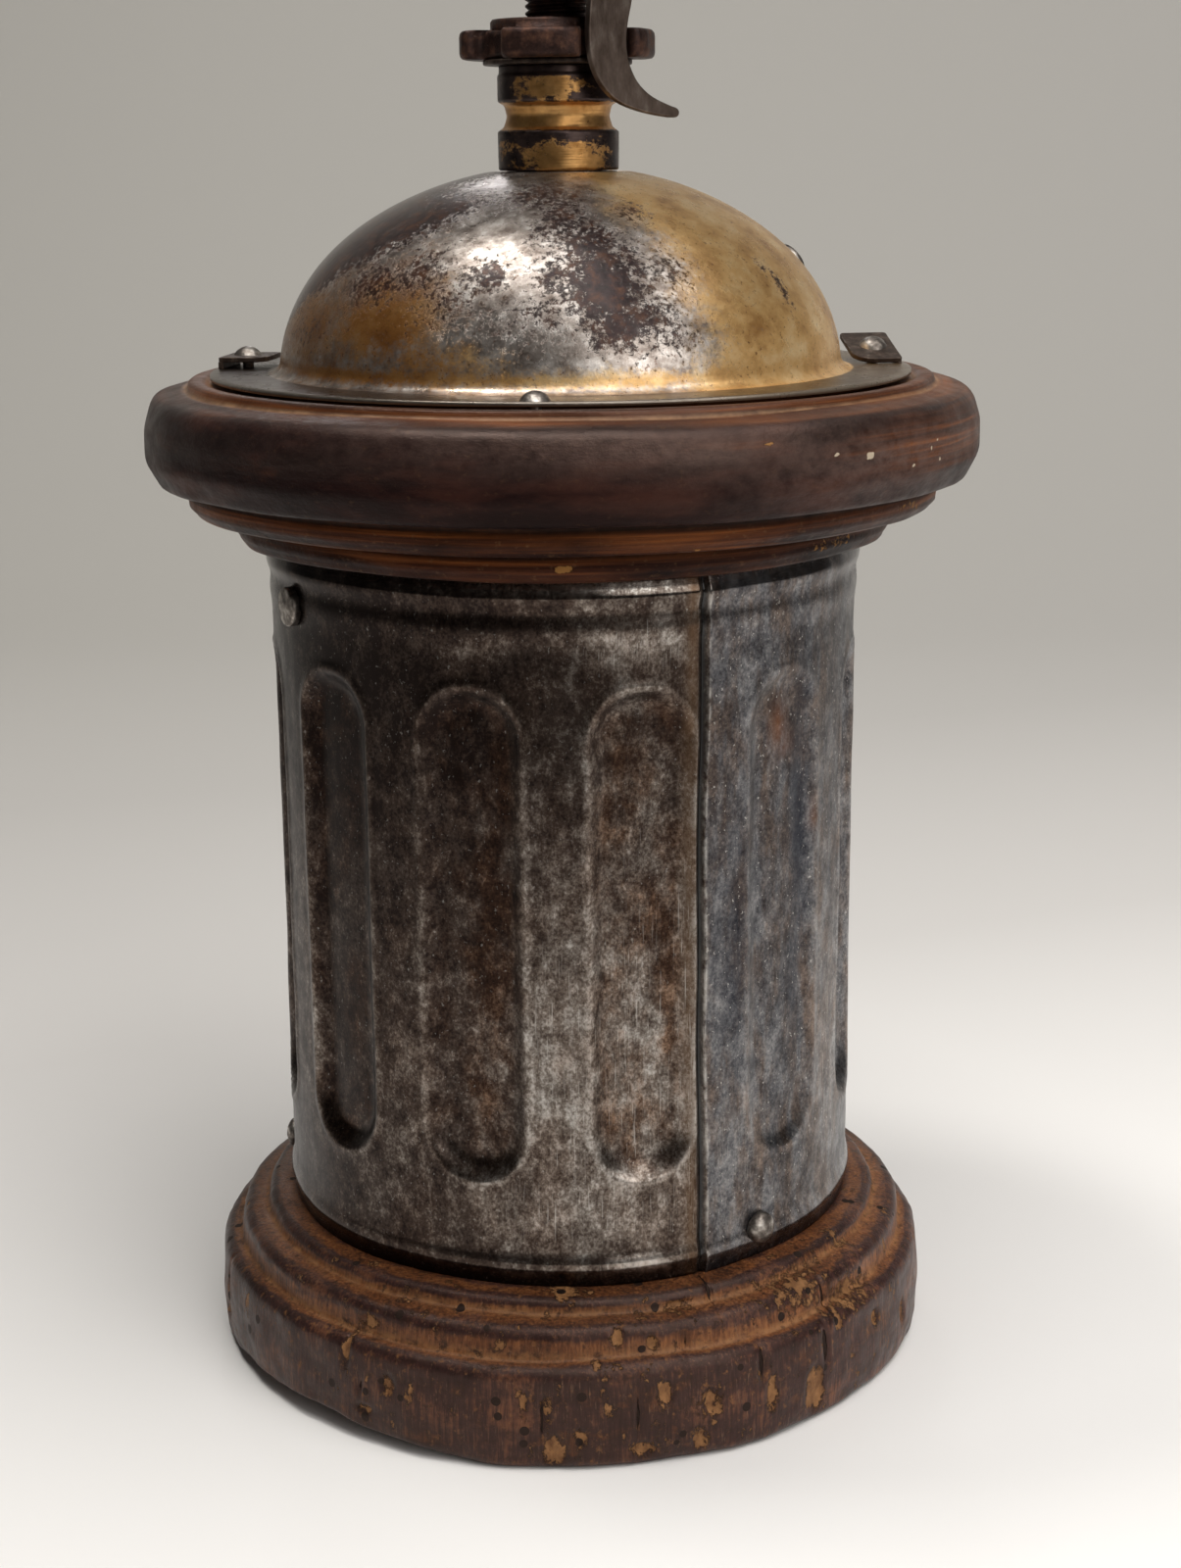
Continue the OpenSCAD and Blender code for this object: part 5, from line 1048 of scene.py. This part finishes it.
ear_r, hexagon_r = 2.3, 5.7735
half_turn = np.radians(np.linspace(-90, 90, 15))
ear = np.array([
    (-2.9, -ear_r), *[(ear_r * math.cos(t), ear_r * math.sin(t)) for t in half_turn], (-2.9, ear_r)])
ears = [
    plate("catch_ear_" + name, ear, low, low + 2.2, pin_place, 0.25)
    for name, low in (("left", -6.6), ("right", 4.4))]
hexagon = [(hexagon_r * math.cos(t), hexagon_r * math.sin(t)) for t in np.radians(np.arange(0, 360, 60))]
crank_nut = plate("crank_nut_hexagon", np.array(hexagon), 234.53, 240.03, turn("Z", 10), 0.5)
for made in (arm, hub, *ears, crank_nut):
    made.data.materials.append(rusty_steel)
    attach(made, "spindle")
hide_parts("crank_arm")
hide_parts("crank_nut")
dress(satin_steel, "crank_washer", "catch_pin", "knob_pin", "knob_washer")


# The crank's knob: turned wood, pear-shaped, with a narrow neck, fine turned lines and rubbed
# patches. It spins on the pin that goes through it.
belly, pin_r, knob_low, knob_tall = 0.62, 3.06, 245.833, 40
knob_u = np.linspace(0, 1, 60)
swell = 7.5 + 3.25 * (1 - np.cos(np.pi * np.minimum(knob_u, belly) / belly))
crown = np.sqrt(1 - (np.maximum(knob_u - belly, 0) / (1 - belly)) ** 2)
knob_r = np.where(knob_u < belly, swell, 14 * (0.45 + 0.55 * crown))
knob_r = knob_r - 0.25 * bell(knob_u, 0.1, 0.012) - 0.2 * bell(knob_u, belly, 0.012)
knob_line = np.concatenate([
    [[pin_r, 0]], np.stack([knob_r, knob_tall * knob_u], -1), [[pin_r, knob_tall], [pin_r, 0]]])
knob_line[:, 1] += knob_low
knob = lathe("turned_crank_knob", 96, knob_line)
knob.data.transform(crank_turn @ shift(0, -reach, 0))

# Dark varnished wood with upright grain, rubbed to red-brown.
knob_wood, tree, shader = new_material("varnished_knob_wood")
grain = add(tree, "TexNoise", size=(1.2, 1.2, 26), fine=(5, 0.6))
colour = add(tree, "ValToRGB", grain, stops=((0.3, "#21120d"), (0.52, "#41241a"), (0.72, "#633a26")))
rubbed = add(tree, "TexNoise", size=(9, 9, 12), shift=4, fine=(4, 0.6), stops=((0.42, 0), (0.66, 0.6)))
feed(tree, shader, {
    "Base Color": add(tree, "Mix", rubbed, colour, "#7a4a2e"),
    "Roughness": add(tree, "TexNoise", size=4, shift=2, fine=(4, 0.6), stops=((0.3, 0.28), (0.7, 0.46))),
    "Normal": add(tree, "Bump", Height=grain, Distance=0.08 * mm)})
knob.data.materials.append(knob_wood)
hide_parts("crank_knob")
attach(knob, "knob")


# The drawer behind: a curved tin front with a pressed bead along its edges, a plain tin tray and a
# small turned brass knob.
front_r, chord_r, front_half, front_low, front_high = 48.95, 48.7, 21, 35.5, 65.3
front_x = np.linspace(-front_half, front_half, 61)
front_z = np.linspace(front_low, front_high, 46)
front_points = turned(
    180 + np.degrees(np.arcsin(front_x / chord_r)), np.stack([np.full_like(front_z, front_r), front_z], -1))
inset = np.minimum(
    front_half - np.abs(front_x)[:, None], np.minimum(front_z - front_low, front_high - front_z))
bead = bell(inset, 3.2, 0.9)
front = grid_piece(
    "drawer_front_sheet", push(front_points, 0.55 * bead * mm), wrap=(False, False),
    rim=np.maximum(bead, unit(1 - inset / 0.8)), ribs=bead, wear=0.5)
thicken(front, 0.65)
front.data.materials.append(tin_plate)
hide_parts("drawer_front")
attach(front, "drawer")
pull = lathe("drawer_knob_turned", 64, rounded([
    (0, 0, 0), (4.5, 0, 0.1), (4.5, 1.3, 0.6), (3.0, 1.9, 0.9), (3.0, 4.0, 0.8), (6.4, 5.4, 1.6),
    (6.4, 9.4, 2.2), (3.6, 12.0, 4.0), (0, 12.0, 0)]))
pull.data.transform(shift(0, 49.1, 50.3) @ turn("X", -90))
pull.data.materials.append(aged_brass)
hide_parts("drawer_knob")
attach(pull, "drawer")

# Plain tin of the tray, dulled by coffee.
tray_tin = plain_metal(
    "dull_tray_tin", {"size": (8, 8, 5), "fine": (6, 0.65)},
    ((0.3, "#4a3f36"), (0.5, "#7d766d"), (0.72, "#9d978e")), 0.8, (0.6, 0.36))
dress(tray_tin, "drawer_tray")


# Inside the mill: the cast-iron ring and cone that grind the beans, dark and rough, and the two
# wooden runners that guide the drawer.
cast_iron = plain_metal(
    "cast_burr_iron", {"size": 2, "fine": (6, 0.65)},
    ((0.3, "#2b2928"), (0.55, "#4c4947"), (0.75, "#6e6a66")), 0.85, (0.6, 0.4),
    {"size": 0.8, "shift": 2, "fine": (4, 0.6)}, 0.1)
dress(cast_iron, "ring_burr", "cone_burr")

# Bare beech, darkened by oil, with its grain along the runner.
bare_wood, tree, shader = new_material("bare_runner_wood")
grain = add(tree, "TexNoise", size=(1.4, 30, 1.4), fine=(5, 0.6))
feed(tree, shader, {
    "Base Color": add(
        tree, "ValToRGB", grain, stops=((0.3, "#6d4a2c"), (0.52, "#94693f"), (0.72, "#b58c5c"))),
    "Roughness": 0.7, "Normal": add(tree, "Bump", Height=grain, Distance=0.1 * mm)})
dress(bare_wood, "drawer_runner_left", "drawer_runner_right")

low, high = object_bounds()
{"cad": [list(cad_low), list(cad_high)], "visual": [list(low), list(high)]}
